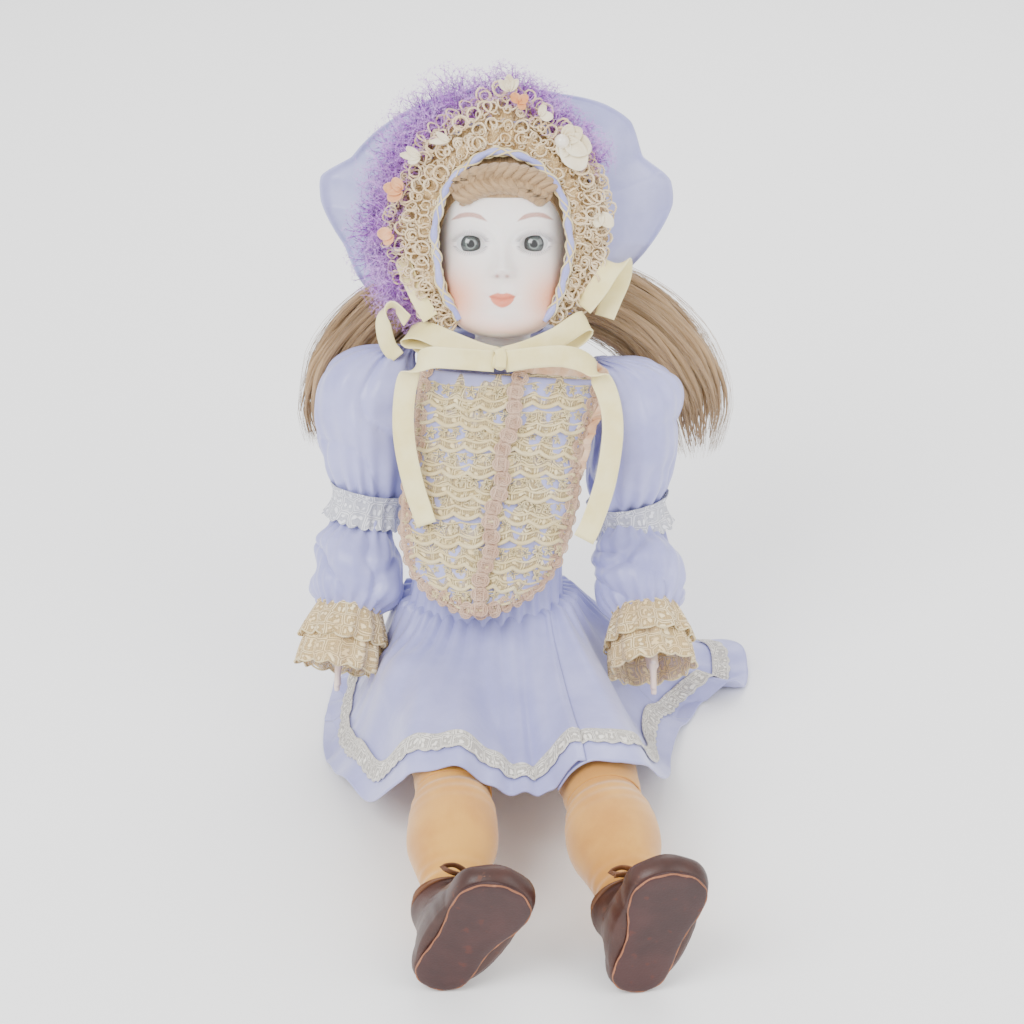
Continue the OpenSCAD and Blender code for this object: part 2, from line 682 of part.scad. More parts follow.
module shoe_upper(side) {
    color([0.36, 0.24, 0.18]) knee_frame(side) loop_skin(concat(
        shoe_rings(0),
        [for (i = [0 : 4]) let (s = shoe_stations()[i])
            oval(0, s[1], s[0], s[2] - shoe_wall, s[3] - shoe_wall, 28)]));
}

module shoe_sole(side) {
    toe = heel_back + sole_len;
    color([0.37, 0.28, 0.26]) knee_frame(side) translate([0, 0, sole_y - sole_t]) linear_extrude(height = sole_t)
        hull() {
            translate([0, heel_back + 15]) circle(r = 15, $fn = 32);
            translate([0, toe - sole_half]) circle(r = sole_half, $fn = 32);
        }
}

module shoe_tie(side) {
    color([0.30, 0.20, 0.15]) knee_frame(side) {
        translate([0, 0, sole_y - 42]) turned_wall([[0, ankle_r + 3.2, ankle_r + 5.4], [3, ankle_r + 3.2, ankle_r + 5.4]]);
        for (s = SIDE_X)
            sweep([[s * 1, ankle_r + 8, sole_y - 40], [s * 8, ankle_r + 10, sole_y - 40],
                [s * 15, ankle_r + 9, sole_y - 38]], [[2, 1.5], [5, 2], [3, 1.5]], [0, 0, 1], 8);
    }
}

// ---------------------------------------------------------------- nodes

torso_shell();
arm_elastic();
leg_elastic();
neck_hook();
dress_bodice();
bib_panel();
bib_braid();
neck_ruffle();
skirt_back();
petticoat();
head_shell();
neck_button();
glass_eyes();
eye_setting();
pate();
wig_cap();
forehead_braid();
hair_bunch(RIGHT);  // hair_right
hair_bunch(LEFT);  // hair_left
bonnet_crown();
bonnet_brim();
bonnet_frill();
bonnet_cord();
feather_trim();
bonnet_flowers();
pearl_bead();
chin_bow();
ribbon_tail(RIGHT);  // ribbon_tail_right
ribbon_tail(LEFT);  // ribbon_tail_left
shoulder_ball(RIGHT);  // shoulder_ball_right
upper_arm(RIGHT);  // upper_arm_right
forearm(RIGHT);  // forearm_right
hand(RIGHT);  // hand_right
sleeve_upper(RIGHT);  // sleeve_upper_right
sleeve_band(RIGHT);  // sleeve_band_right
sleeve_lower(RIGHT);  // sleeve_lower_right
cuff_lace(RIGHT);  // cuff_lace_right
shoulder_ball(LEFT);  // shoulder_ball_left
upper_arm(LEFT);  // upper_arm_left
forearm(LEFT);  // forearm_left
hand(LEFT);  // hand_left
sleeve_upper(LEFT);  // sleeve_upper_left
sleeve_band(LEFT);  // sleeve_band_left
sleeve_lower(LEFT);  // sleeve_lower_left
cuff_lace(LEFT);  // cuff_lace_left
thigh(RIGHT);  // thigh_right
shin(RIGHT);  // shin_right
stocking(RIGHT);  // stocking_right
shoe_upper(RIGHT);  // shoe_upper_right
shoe_sole(RIGHT);  // shoe_sole_right
shoe_tie(RIGHT);  // shoe_tie_right
skirt_lap(RIGHT);  // skirt_lap_right
thigh(LEFT);  // thigh_left
shin(LEFT);  // shin_left
stocking(LEFT);  // stocking_left
shoe_upper(LEFT);  // shoe_upper_left
shoe_sole(LEFT);  // shoe_sole_left
shoe_tie(LEFT);  // shoe_tie_left
skirt_lap(LEFT);  // skirt_lap_left
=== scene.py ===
"""Visual model of a seated porcelain doll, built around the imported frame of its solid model.

All lengths in the classes are millimetres in the frame of the body that a piece belongs to.
A Place turns them into metres in the shared frame.
"""
import json
import logging
import math
from dataclasses import dataclass, field
from enum import Enum
from typing import Callable, Optional, Sequence

import bmesh
import bpy
import numpy as np
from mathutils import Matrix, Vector
from mathutils.bvhtree import BVHTree


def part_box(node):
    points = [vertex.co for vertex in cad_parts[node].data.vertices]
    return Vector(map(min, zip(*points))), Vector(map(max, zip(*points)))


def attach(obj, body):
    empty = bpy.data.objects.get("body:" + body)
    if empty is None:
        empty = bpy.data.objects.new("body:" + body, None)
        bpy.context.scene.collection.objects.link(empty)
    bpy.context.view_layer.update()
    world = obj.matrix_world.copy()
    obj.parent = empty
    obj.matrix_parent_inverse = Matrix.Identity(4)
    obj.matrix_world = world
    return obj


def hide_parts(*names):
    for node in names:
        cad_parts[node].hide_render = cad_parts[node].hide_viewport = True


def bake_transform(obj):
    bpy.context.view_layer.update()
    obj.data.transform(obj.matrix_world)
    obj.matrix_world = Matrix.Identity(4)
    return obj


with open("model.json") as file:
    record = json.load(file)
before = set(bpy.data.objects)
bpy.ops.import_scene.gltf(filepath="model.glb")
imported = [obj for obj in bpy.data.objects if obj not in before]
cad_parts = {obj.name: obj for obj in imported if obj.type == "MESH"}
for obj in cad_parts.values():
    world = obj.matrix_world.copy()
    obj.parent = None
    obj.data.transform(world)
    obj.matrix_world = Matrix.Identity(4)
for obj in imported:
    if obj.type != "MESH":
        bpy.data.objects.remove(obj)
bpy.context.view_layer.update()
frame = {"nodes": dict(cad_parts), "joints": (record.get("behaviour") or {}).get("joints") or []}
LOG = logging.getLogger("doll")
MM = 0.001
Array = np.ndarray
RGB = tuple[float, float, float]


class Side(Enum):
    """The doll's own right and left side."""

    RIGHT = "right"
    LEFT = "left"

    @property
    def sign(self) -> int:
        """-1 on the doll's right (-X), 1 on its left (+X)."""
        return -1 if self is Side.RIGHT else 1


# ------------------------------------------------------------------ places


def unit(v: Array) -> Array:
    """Unit vectors along the last axis."""
    return v / np.maximum(np.linalg.norm(v, axis=-1, keepdims=True), 1e-12)


def joint(name: str) -> dict:
    """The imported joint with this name."""
    return next(j for j in frame["joints"] if j["name"] == name)


def joint_pos(name: str) -> Array:
    """Position of a joint in metres."""
    return np.array(joint(name)["pos_m"], float)


def joint_axis(name: str) -> Array:
    """Unit axis of a joint."""
    return unit(np.array(joint(name)["axis"], float))


@dataclass(frozen=True)
class Place:
    """A local frame: an origin in metres, and its x, y and z directions as rows."""

    origin: Array
    axes: Array

    def world(self, points: Array) -> Array:
        """Local millimetres to metres in the shared frame.

        Args:
            points: local points, any leading shape, last axis x, y, z.

        Returns:
            The same points in metres in the shared frame.
        """
        return self.origin + (np.asarray(points, float) @ self.axes) * MM

    def local(self, points: Array) -> Array:
        """Metres in the shared frame to local millimetres.

        Args:
            points: points in metres.

        Returns:
            The same points in local millimetres.
        """
        return ((np.asarray(points, float) - self.origin) / MM) @ self.axes.T


def place_from(origin: Array, z: Array, x: Array) -> Place:
    """A Place from its origin, its z direction and a rough x direction.

    Args:
        origin: origin in metres.
        z: z direction.
        x: direction that the x axis lies closest to.

    Returns:
        The right-handed Place.
    """
    z = unit(z)
    x = unit(x - np.dot(x, z) * z)
    return Place(np.asarray(origin, float), np.array([x, np.cross(z, x), z]))


WORLD = Place(np.zeros(3), np.eye(3))


def head_place() -> Place:
    """Head frame: origin at the neck joint, +Z up through the crown, -Y out of the face."""
    return place_from(joint_pos("neck_turn"), joint_axis("neck_turn"), np.array([1.0, 0.0, 0.0]))


def torso_place() -> Place:
    """Torso frame: origin between the hips, +Z along the spine."""
    right, left = joint_pos("hip_swing_right"), joint_pos("hip_swing_left")
    middle = (right + left) / 2
    return place_from(middle, joint_pos("neck_turn") - middle, left - right)


def arm_place(side: Side) -> Place:
    """Upper arm frame: origin at the shoulder, +Z from the elbow to the shoulder."""
    top, low = joint_pos(f"shoulder_swing_{side.value}"), joint_pos(f"elbow_bend_{side.value}")
    return place_from(top, top - low, -joint_axis(f"elbow_bend_{side.value}"))


def forearm_place(side: Side) -> Place:
    """Forearm frame: origin at the elbow, +Z from the wrist to the elbow."""
    top, low = joint_pos(f"elbow_bend_{side.value}"), joint_pos(f"wrist_bend_{side.value}")
    return place_from(top, top - low, -joint_axis(f"wrist_bend_{side.value}"))


def node_points(name: str) -> Array:
    """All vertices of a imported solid, in metres."""
    data = frame["nodes"][name].data
    co = np.zeros(len(data.vertices) * 3, np.float32)
    data.vertices.foreach_get("co", co)
    return co.reshape(-1, 3).astype(float)


def hand_place(side: Side) -> Place:
    """Hand frame: origin at the wrist, +Z from the fingertips to the wrist."""
    wrist = joint_pos(f"wrist_bend_{side.value}")
    points = node_points(f"hand_{side.value}")
    reach = np.linalg.norm(points - wrist, axis=1)
    tips = points[reach > reach.max() - 2 * MM].mean(0)
    return place_from(wrist, wrist - tips, -joint_axis(f"wrist_bend_{side.value}"))


def shin_place(side: Side) -> Place:
    """Shin frame: origin at the knee, +Z down to the sole, +Y over the toes."""
    knee = joint_pos(f"knee_bend_{side.value}")
    middle = node_points(f"stocking_{side.value}").mean(0)
    return place_from(knee, middle - knee, joint_axis(f"knee_bend_{side.value}"))


# ------------------------------------------------------------------ curves and grids


def smooth(t: Array) -> Array:
    """Smoothstep of values clipped to 0..1."""
    t = np.clip(t, 0, 1)
    return t * t * (3 - 2 * t)


def bell(t: Array) -> Array:
    """Gaussian bump of unit height and unit width."""
    return np.exp(-0.5 * np.square(t))


def spline(points: Sequence, count: int, closed: bool = False) -> Array:
    """Catmull-Rom curve through control points, evenly spaced along its length.

    Args:
        points: control points of any dimension.
        count: number of points returned.
        closed: whether the curve returns to its first point.

    Returns:
        Array of count points. A closed curve doesn't repeat its first point.
    """
    p = np.asarray(points, float)
    n = len(p)
    ends = np.vstack([p[-1], p, p[0], p[1]]) if closed else np.vstack([2 * p[0] - p[1], p, 2 * p[-1] - p[-2]])
    fine = []
    for i in range(n if closed else n - 1):
        a, b, c, d = ends[i], ends[i + 1], ends[i + 2], ends[i + 3]
        t = np.linspace(0, 1, 24, endpoint=False)[:, None]
        fine.append(0.5 * (2 * b + (c - a) * t + (2 * a - 5 * b + 4 * c - d) * t**2
                           + (3 * b - a - 3 * c + d) * t**3))
    line = np.vstack(fine + [p[:1] if closed else p[-1:]])
    run = np.concatenate([[0], np.cumsum(np.linalg.norm(np.diff(line, axis=0), axis=1))])
    want = np.linspace(0, run[-1], count + 1)[:-1] if closed else np.linspace(0, run[-1], count)
    return np.stack([np.interp(want, run, line[:, k]) for k in range(p.shape[1])], 1)


def lengths(line: Array) -> Array:
    """Distance along a line at each of its points."""
    return np.concatenate([[0], np.cumsum(np.linalg.norm(np.diff(line, axis=0), axis=1))])


def tangents(line: Array, closed: bool = False) -> Array:
    """Unit tangents of a line."""
    if closed:
        return unit(np.roll(line, -1, 0) - np.roll(line, 1, 0))
    return unit(np.gradient(line, axis=0))


def wander(shape: tuple[int, int], cells: tuple[int, int], seed: int, wrap: bool = False) -> Array:
    """Smooth random field, about -1 to 1.

    Args:
        shape: rows and columns of the field.
        cells: number of random cells down and across.
        seed: seed of the random draw.
        wrap: whether the last column joins the first.

    Returns:
        The field.
    """
    rng = np.random.default_rng(seed)
    rows, cols = cells
    grid = rng.uniform(-1, 1, (rows + 3, cols + 3))
    if wrap:
        grid[:, cols:] = grid[:, :3]

    def weights(count: int, size: int, whole: bool) -> Array:
        """Cubic weights of the control values at each of count places."""
        t = np.linspace(0, size, count, endpoint=not whole)
        i = np.minimum(t.astype(int), size - (0 if whole else 1))
        f = t - i
        w = np.zeros((count, size + 3))
        for k, v in enumerate(((1 - f)**3 / 6, (3 * f**3 - 6 * f**2 + 4) / 6,
                               (-3 * f**3 + 3 * f**2 + 3 * f + 1) / 6, f**3 / 6)):
            w[np.arange(count), np.minimum(i + k, size + 2)] += v
        return w

    return 2.0 * weights(shape[0], rows, False) @ grid @ weights(shape[1], cols, wrap).T


def grid_normals(grid: Array, wrap_u: bool, wrap_v: bool) -> Array:
    """Unit normals of a grid of points, along the cross of its column and row directions."""
    def slope(axis: int, wrap: bool) -> Array:
        """Difference between neighbours along an axis."""
        if wrap:
            return np.roll(grid, -1, axis) - np.roll(grid, 1, axis)
        return np.gradient(grid, axis=axis)
    return unit(np.cross(slope(1, wrap_u), slope(0, wrap_v)))


@dataclass
class Surface:
    """A grid of points with a flat coordinate for each, as cloth has before it is sewn."""

    points: Array  # rows, columns, xyz in local millimetres
    wrap_u: bool = False
    wrap_v: bool = False
    uv_size: Optional[tuple[float, float]] = None  # real size across and down, in millimetres

    def flat_uv(self) -> Array:
        """Flat coordinates in metres for rows and columns, with one more column and row when they wrap."""
        p = self.points
        rows, cols = p.shape[0] + self.wrap_v, p.shape[1] + self.wrap_u
        closed = np.concatenate([p, p[:, :1]], 1) if self.wrap_u else p
        closed = np.concatenate([closed, closed[:1]], 0) if self.wrap_v else closed
        if self.uv_size:
            u = np.linspace(0, self.uv_size[0], cols)
            v = np.linspace(0, self.uv_size[1], rows)
        else:
            u = np.linalg.norm(np.diff(closed, axis=1), axis=2).mean(0)
            v = np.linalg.norm(np.diff(closed, axis=0), axis=2).mean(1)
            u, v = np.concatenate([[0], np.cumsum(u)]), np.concatenate([[0], np.cumsum(v)])
        return np.stack(np.broadcast_arrays(u[None, :], v[:, None]), -1) * MM

    def area(self) -> float:
        """Area in square metres."""
        p = self.points
        p = np.concatenate([p, p[:, :1]], 1) if self.wrap_u else p
        p = np.concatenate([p, p[:1]], 0) if self.wrap_v else p
        a, b = p[1:, 1:] - p[:-1, :-1], p[1:, :-1] - p[:-1, 1:]
        return float(np.linalg.norm(np.cross(a, b), axis=2).sum() / 2) * MM * MM


class MeshParts:
    """Collects quads and triangles with flat coordinates, and makes one object of them."""

    def __init__(self, name: str, place: Place) -> None:
        """Start an empty mesh in a Place."""
        self.name, self.place = name, place
        self.cloth = 0.0
        self.verts: list[Array] = []
        self.faces: list[Array] = []
        self.uvs: list[Array] = []
        self.tags: dict[str, list[Array]] = {}
        self.count = 0

    def add(self, verts: Array, faces: Array, uvs: Array, **tags: Array) -> None:
        """Add vertices, faces of one size and a flat coordinate for each face corner.

        Args:
            verts: local points in millimetres.
            faces: vertex numbers, one row a face.
            uvs: flat coordinates in metres, shaped like faces with a last axis of two.
            tags: values at each vertex, kept as mesh attributes.
        """
        self.verts.append(np.asarray(verts, float).reshape(-1, 3))
        self.faces.append(np.asarray(faces, int) + self.count)
        self.uvs.append(np.asarray(uvs, float))
        for key, value in tags.items():
            self.tags.setdefault(key, []).append(np.broadcast_to(value, (len(self.verts[-1]),)).astype(float))
        self.count += len(self.verts[-1])

    def add_surface(self, s: Surface, thick: float = 0.0, flip: bool = False, **tags: Array) -> None:
        """Add a grid, as a single sheet or as a closed shell of some thickness.

        Args:
            s: the grid.
            thick: wall thickness in millimetres, set inwards from the grid. 0 leaves one sheet.
            flip: whether the normals point the other way.
            tags: values at each grid point, kept as mesh attributes.
        """
        self.cloth += s.area()
        m, n = s.points.shape[:2]
        uv = s.flat_uv()
        ids = np.arange(m * n).reshape(m, n)
        rows, cols = (m if s.wrap_v else m - 1), (n if s.wrap_u else n - 1)
        i, j = np.meshgrid(np.arange(rows), np.arange(cols), indexing="ij")
        k, l = (i + 1) % m, (j + 1) % n
        quad = np.stack([ids[i, j], ids[i, l], ids[k, l], ids[k, j]], -1).reshape(-1, 4)
        corner = np.stack([uv[i, j], uv[i, j + 1], uv[i + 1, j + 1], uv[i + 1, j]], 2).reshape(-1, 4, 2)
        if flip:
            quad, corner = quad[:, ::-1], corner[:, ::-1]
        values = {key: np.asarray(value, float).ravel() for key, value in tags.items()}
        outer = s.points.reshape(-1, 3)
        if thick <= 0:
            self.add(outer, quad, corner, **values)
            return
        normal = grid_normals(s.points, s.wrap_u, s.wrap_v).reshape(-1, 3) * (-1 if flip else 1)
        inner = outer - normal * thick
        rims, rim_uvs = [], []

        def rim(line: Array, line_uv: Array) -> None:
            """Close one open edge between the outer and the inner wall."""
            a, b = line[:-1], line[1:]
            faces = np.stack([a, a + m * n, b + m * n, b], -1)
            edge = np.stack([line_uv[:-1], line_uv[:-1], line_uv[1:], line_uv[1:]], 1)
            rims.append(faces[:, ::-1] if flip else faces)
            rim_uvs.append(edge[:, ::-1] if flip else edge)

        if not s.wrap_v:
            first = np.append(ids[0], ids[0, 0]) if s.wrap_u else ids[0]
            last = np.append(ids[-1], ids[-1, 0]) if s.wrap_u else ids[-1]
            rim(first, uv[0])
            rim(last[::-1], uv[-1][::-1])
        if not s.wrap_u:
            first = np.append(ids[:, 0], ids[0, 0]) if s.wrap_v else ids[:, 0]
            last = np.append(ids[:, -1], ids[0, -1]) if s.wrap_v else ids[:, -1]
            rim(first[::-1], uv[:, 0][::-1])
            rim(last, uv[:, -1])
        faces = np.concatenate([quad, quad[:, ::-1] + m * n] + rims)
        corners = np.concatenate([corner, corner[:, ::-1]] + rim_uvs)
        self.add(np.concatenate([outer, inner]), faces, corners,
                 **{key: np.concatenate([value, value]) for key, value in values.items()})

    def add_tube(self, line: Array, radii: Array, sides: int = 8, up: Sequence[float] = (0, 1, 0),
                 closed: bool = False, twist: float = 0.0, **tags: float) -> None:
        """Add a tube along a line, closed at its ends.

        Args:
            line: centre points.
            radii: one radius a point, or a pair (across, along up) a point.
            sides: corners of the section.
            up: rough direction of the section's second axis.
            closed: whether the tube joins itself.
            twist: turns of the section along the tube, in radians for each millimetre.
            tags: one value for the whole tube, kept as mesh attributes.
        """
        line = np.asarray(line, float)
        radii = np.broadcast_to(np.asarray(radii, float), (len(line),)) if np.ndim(radii) < 2 else np.asarray(radii)
        pair = np.stack([radii, radii], 1) if radii.ndim == 1 else radii
        t = tangents(line, closed)
        side = unit(np.cross(t, np.asarray(up, float)))
        other = np.cross(t, side)
        spin = twist * lengths(line)[:, None]
        a = np.arange(sides) * 2 * math.pi / sides + spin
        ring = (line[:, None] + (pair[:, :1] * np.cos(a))[..., None] * side[:, None]
                + (pair[:, 1:] * np.sin(a))[..., None] * other[:, None])
        around = 2 * math.pi * float(pair.mean())
        run = float(lengths(line)[-1])
        if closed:
            self.add_surface(Surface(ring, True, True, (around, run)),
                             **{k: np.full(ring.shape[:2], v) for k, v in tags.items()})
            return
        tip = np.concatenate([np.repeat(line[:1][None], sides, 1), ring, np.repeat(line[-1:][None], sides, 1)], 0)
        tip[0] = tip[0] * 0.999 + ring[0] * 0.001
        tip[-1] = tip[-1] * 0.999 + ring[-1] * 0.001
        self.add_surface(Surface(tip, True, False, (around, run)),
                         **{k: np.full(tip.shape[:2], v) for k, v in tags.items()})

    def build(self, material: Optional[bpy.types.Material] = None, flat: bool = False) -> bpy.types.Object:
        """Make the object.

        Args:
            material: its material.
            flat: whether it is shaded flat.

        Returns:
            The object, at the origin, with its place in its mesh.
        """
        mesh = bpy.data.meshes.new(self.name)
        verts = self.place.world(np.concatenate(self.verts))
        faces = [row for block in self.faces for row in block.tolist()]
        mesh.from_pydata(verts.tolist(), [], faces)
        layer = mesh.uv_layers.new(name="UVMap")
        flat_uv = np.concatenate([block.reshape(-1, 2) for block in self.uvs])
        layer.data.foreach_set("uv", flat_uv.astype(np.float32).ravel())
        for key, blocks in self.tags.items():
            attribute = mesh.attributes.new(key, "FLOAT", "POINT")
            attribute.data.foreach_set("value", np.concatenate(blocks).astype(np.float32))
        welded = bmesh.new()
        welded.from_mesh(mesh)
        bmesh.ops.remove_doubles(welded, verts=welded.verts, dist=2e-5)
        welded.to_mesh(mesh)
        welded.free()
        mesh.update()
        mesh.shade_flat() if flat else mesh.shade_smooth()
        obj = bpy.data.objects.new(self.name, mesh)
        bpy.context.scene.collection.objects.link(obj)
        if material:
            mesh.materials.append(material)
        return obj


def lay(obj: bpy.types.Object, parts: "MeshParts", width: float, held: str, *under: str) -> bpy.types.Object:
    """Return the piece as it is. The length is worked out from the built piece, so the
    piece's area always agrees with it.

    Args:
        obj: the piece.
        parts: the mesh that it was built from; not used.
        width: width of the flat strip, in metres; not used.
        held: how it is held; not used.
        under: names of what it lies on or hangs from; not used.

    Returns:
        The piece.
    """
    return obj


def settle(obj: bpy.types.Object, body: str, slot: str, *nodes: str) -> bpy.types.Object:
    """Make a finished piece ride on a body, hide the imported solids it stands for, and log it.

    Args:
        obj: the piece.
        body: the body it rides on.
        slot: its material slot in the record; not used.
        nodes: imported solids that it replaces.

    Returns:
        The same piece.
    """
    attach(obj, body)
    return dress(obj, slot, *nodes)


def dress(obj: bpy.types.Object, slot: str, *nodes: str) -> bpy.types.Object:
    """Hide the imported solids that a piece stands for, and log it."""
    if nodes:
        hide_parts(*nodes)
    LOG.info("%s: %d faces", obj.name, len(obj.data.polygons))
    return obj


# ------------------------------------------------------------------ shader building blocks


def srgb(code: str) -> RGB:
    """Linear colour from a web colour code."""
    values = [int(code[i:i + 2], 16) / 255 for i in (1, 3, 5)]
    return tuple(v / 12.92 if v <= 0.04045 else ((v + 0.055) / 1.055) ** 2.4 for v in values)


class Tree:
    """Short calls for adding nodes and links to one node tree."""

    def __init__(self, tree: bpy.types.NodeTree) -> None:
        """Work on this tree."""
        self.tree = tree

    def node(self, kind: str, inputs: Optional[dict] = None, **settings: object) -> bpy.types.Node:
        """Add a node.

        Args:
            kind: node type.
            inputs: values or output sockets by input name or number.
            settings: attributes of the node.

        Returns:
            The node.
        """
        n = self.tree.nodes.new(kind)
        for key, value in settings.items():
            setattr(n, key, value)
        for key, value in (inputs or {}).items():
            if isinstance(value, bpy.types.NodeSocket):
                self.tree.links.new(value, n.inputs[key])
            elif isinstance(value, tuple) and len(value) == 3 and n.inputs[key].type == "RGBA":
                n.inputs[key].default_value = (*value, 1.0)
            else:
                n.inputs[key].default_value = value
        return n

    def math(self, operation: str, a: object, b: object = 0.0, c: object = 0.0) -> bpy.types.NodeSocket:
        """Output of a Math node."""
        return self.node("ShaderNodeMath", {0: a, 1: b, 2: c}, operation=operation).outputs[0]

    def blend(self, mask: object, a: object, b: object, kind: str = "MIX") -> bpy.types.NodeSocket:
        """Colour a mixed with colour b by a mask."""
        n = self.node("ShaderNodeMix", {0: mask, 6: a, 7: b}, data_type="RGBA", blend_type=kind)
        return n.outputs[2]

    def ramp(self, value: bpy.types.NodeSocket, stops: Sequence[tuple[float, RGB]]) -> bpy.types.NodeSocket:
        """Colour ramp through (position, colour) stops."""
        n = self.node("ShaderNodeValToRGB", {0: value})
        elements = n.color_ramp.elements
        while len(elements) < len(stops):
            elements.new(1.0)
        for element, (position, colour) in zip(elements, stops):
            element.position = position
            element.color = (*colour, 1.0)
        return n.outputs[0]

    def limits(self, value: object, low: float, high: float) -> bpy.types.NodeSocket:
        """0 at low, 1 at high, smooth between."""
        n = self.node("ShaderNodeMapRange", {"Value": value, "From Min": low, "From Max": high},
                      interpolation_type="SMOOTHSTEP")
        return n.outputs[0]


def effect(name: str, inputs: Sequence[tuple[str, str, object]], outputs: Sequence[tuple[str, str]],
           fill: Callable[[Tree, bpy.types.Node, bpy.types.Node], None]) -> bpy.types.NodeTree:
    """Build a shader node group.

    Args:
        name: name of the group.
        inputs: (name, socket type, default) of each input.
        outputs: (name, socket type) of each output.
        fill: adds the nodes, given the tree, the group's input node and its output node.

    Returns:
        The group.
    """
    group = bpy.data.node_groups.new(name, "ShaderNodeTree")
    for title, kind, default in inputs:
        socket = group.interface.new_socket(title, in_out="INPUT", socket_type=kind)
        if default is not None:
            socket.default_value = default
    for title, kind in outputs:
        group.interface.new_socket(title, in_out="OUTPUT", socket_type=kind)
    tree = Tree(group)
    fill(tree, tree.node("NodeGroupInput"), tree.node("NodeGroupOutput"))
    return group


FLOAT, VECTOR, COLOUR = "NodeSocketFloat", "NodeSocketVector", "NodeSocketColor"


def fill_weave(t: Tree, start: bpy.types.Node, end: bpy.types.Node) -> None:
    """Plain weave: threads over and under, with slubs."""
    spot = t.node("ShaderNodeVectorMath", {0: start.outputs["Vector"], "Scale": start.outputs["Threads"]},
                  operation="SCALE").outputs[0]
    parts = t.node("ShaderNodeSeparateXYZ", {0: spot})
    warp = t.math("SINE", t.math("MULTIPLY", parts.outputs[0], 2 * math.pi))
    weft = t.math("SINE", t.math("MULTIPLY", parts.outputs[1], 2 * math.pi))
    checks = t.math("MULTIPLY", warp, weft)
    slub = t.node("ShaderNodeTexNoise", {"Vector": spot, "Scale": 0.08, "Detail": 3.0})
    height = t.math("ADD", t.math("MULTIPLY", checks, 0.5), t.math("MULTIPLY", slub.outputs[0], 0.6))
    t.tree.links.new(height, end.inputs["Height"])
    t.tree.links.new(t.math("ADD", t.math("MULTIPLY", checks, 0.5), 0.5), end.inputs["Mask"])


def fill_mottle(t: Tree, start: bpy.types.Node, end: bpy.types.Node) -> None:
    """Broad and fine colour drift between two colours."""
    broad = t.node("ShaderNodeTexNoise", {"Vector": start.outputs["Vector"], "Scale": start.outputs["Scale"],
                                          "Detail": 4.0, "Roughness": 0.6})
    value = t.limits(broad.outputs[0], 0.32, 0.68)
    amount = t.math("MULTIPLY", value, start.outputs["Amount"])
    t.tree.links.new(t.blend(amount, start.outputs["Colour A"], start.outputs["Colour B"]), end.inputs["Colour"])
    t.tree.links.new(value, end.inputs["Mask"])


def fill_lace(t: Tree, start: bpy.types.Node, end: bpy.types.Node) -> None:
    """Floral lace: petals round eyelets, thick outlines and a fine net between them."""
    spot = t.node("ShaderNodeVectorMath", {0: start.outputs["Vector"], "Scale": start.outputs["Flowers"]},
                  operation="SCALE").outputs[0]
    warp = t.node("ShaderNodeTexNoise", {"Vector": spot, "Scale": 0.9, "Detail": 1.0})
    drift = t.node("ShaderNodeVectorMath", {0: warp.outputs["Color"], "Scale": 0.5}, operation="SCALE").outputs[0]
    bent = t.node("ShaderNodeVectorMath", {0: spot, 1: drift}, operation="ADD")
    flower = t.node("ShaderNodeTexVoronoi", {"Vector": bent.outputs[0], "Scale": 1.0, "Randomness": 0.35},
                    voronoi_dimensions="2D", feature="F1")
    edge = t.node("ShaderNodeTexVoronoi", {"Vector": bent.outputs[0], "Scale": 1.0, "Randomness": 0.35},
                  voronoi_dimensions="2D", feature="DISTANCE_TO_EDGE")
    petal = t.node("ShaderNodeTexVoronoi", {"Vector": bent.outputs[0], "Scale": 2.7, "Randomness": 0.55},
                   voronoi_dimensions="2D", feature="SMOOTH_F1")
    net = t.node("ShaderNodeTexVoronoi", {"Vector": spot, "Scale": 7.0, "Randomness": 0.4},
                 voronoi_dimensions="2D", feature="DISTANCE_TO_EDGE")
    body = t.math("SUBTRACT", 1.0, t.limits(flower.outputs["Distance"], 0.30, 0.42))
    ring = t.math("SUBTRACT", 1.0, t.limits(t.math("ABSOLUTE", t.math("SUBTRACT", edge.outputs[0], 0.07)), 0.02, 0.06))
    leaf = t.math("SUBTRACT", 1.0, t.limits(petal.outputs["Distance"], 0.30, 0.40))
    thread = t.math("SUBTRACT", 1.0, t.limits(net.outputs[0], 0.05, 0.12))
    solid = t.math("MAXIMUM", t.math("MULTIPLY", body, leaf), ring)
    cover = t.math("MAXIMUM", solid, t.math("MULTIPLY", thread, 0.9))
    height = t.math("ADD", solid, t.math("MULTIPLY", leaf, 0.5))
    t.tree.links.new(cover, end.inputs["Cover"])
    t.tree.links.new(height, end.inputs["Height"])
    t.tree.links.new(solid, end.inputs["Solid"])


def fill_strands(t: Tree, start: bpy.types.Node, end: bpy.types.Node) -> None:
    """Long fine strands along v: streaks of light and dark."""
    parts = t.node("ShaderNodeSeparateXYZ", {0: start.outputs["Vector"]})
    across = t.math("MULTIPLY", parts.outputs[0], start.outputs["Density"])
    along = t.math("MULTIPLY", parts.outputs[1], start.outputs["Stretch"])
    spot = t.node("ShaderNodeCombineXYZ", {0: across, 1: along}).outputs[0]
    fine = t.node("ShaderNodeTexNoise", {"Vector": spot, "Scale": 1.0, "Detail": 5.0, "Roughness": 0.65})
    value = t.limits(fine.outputs[0], 0.30, 0.70)
    t.tree.links.new(value, end.inputs["Mask"])
    t.tree.links.new(fine.outputs[0], end.inputs["Height"])


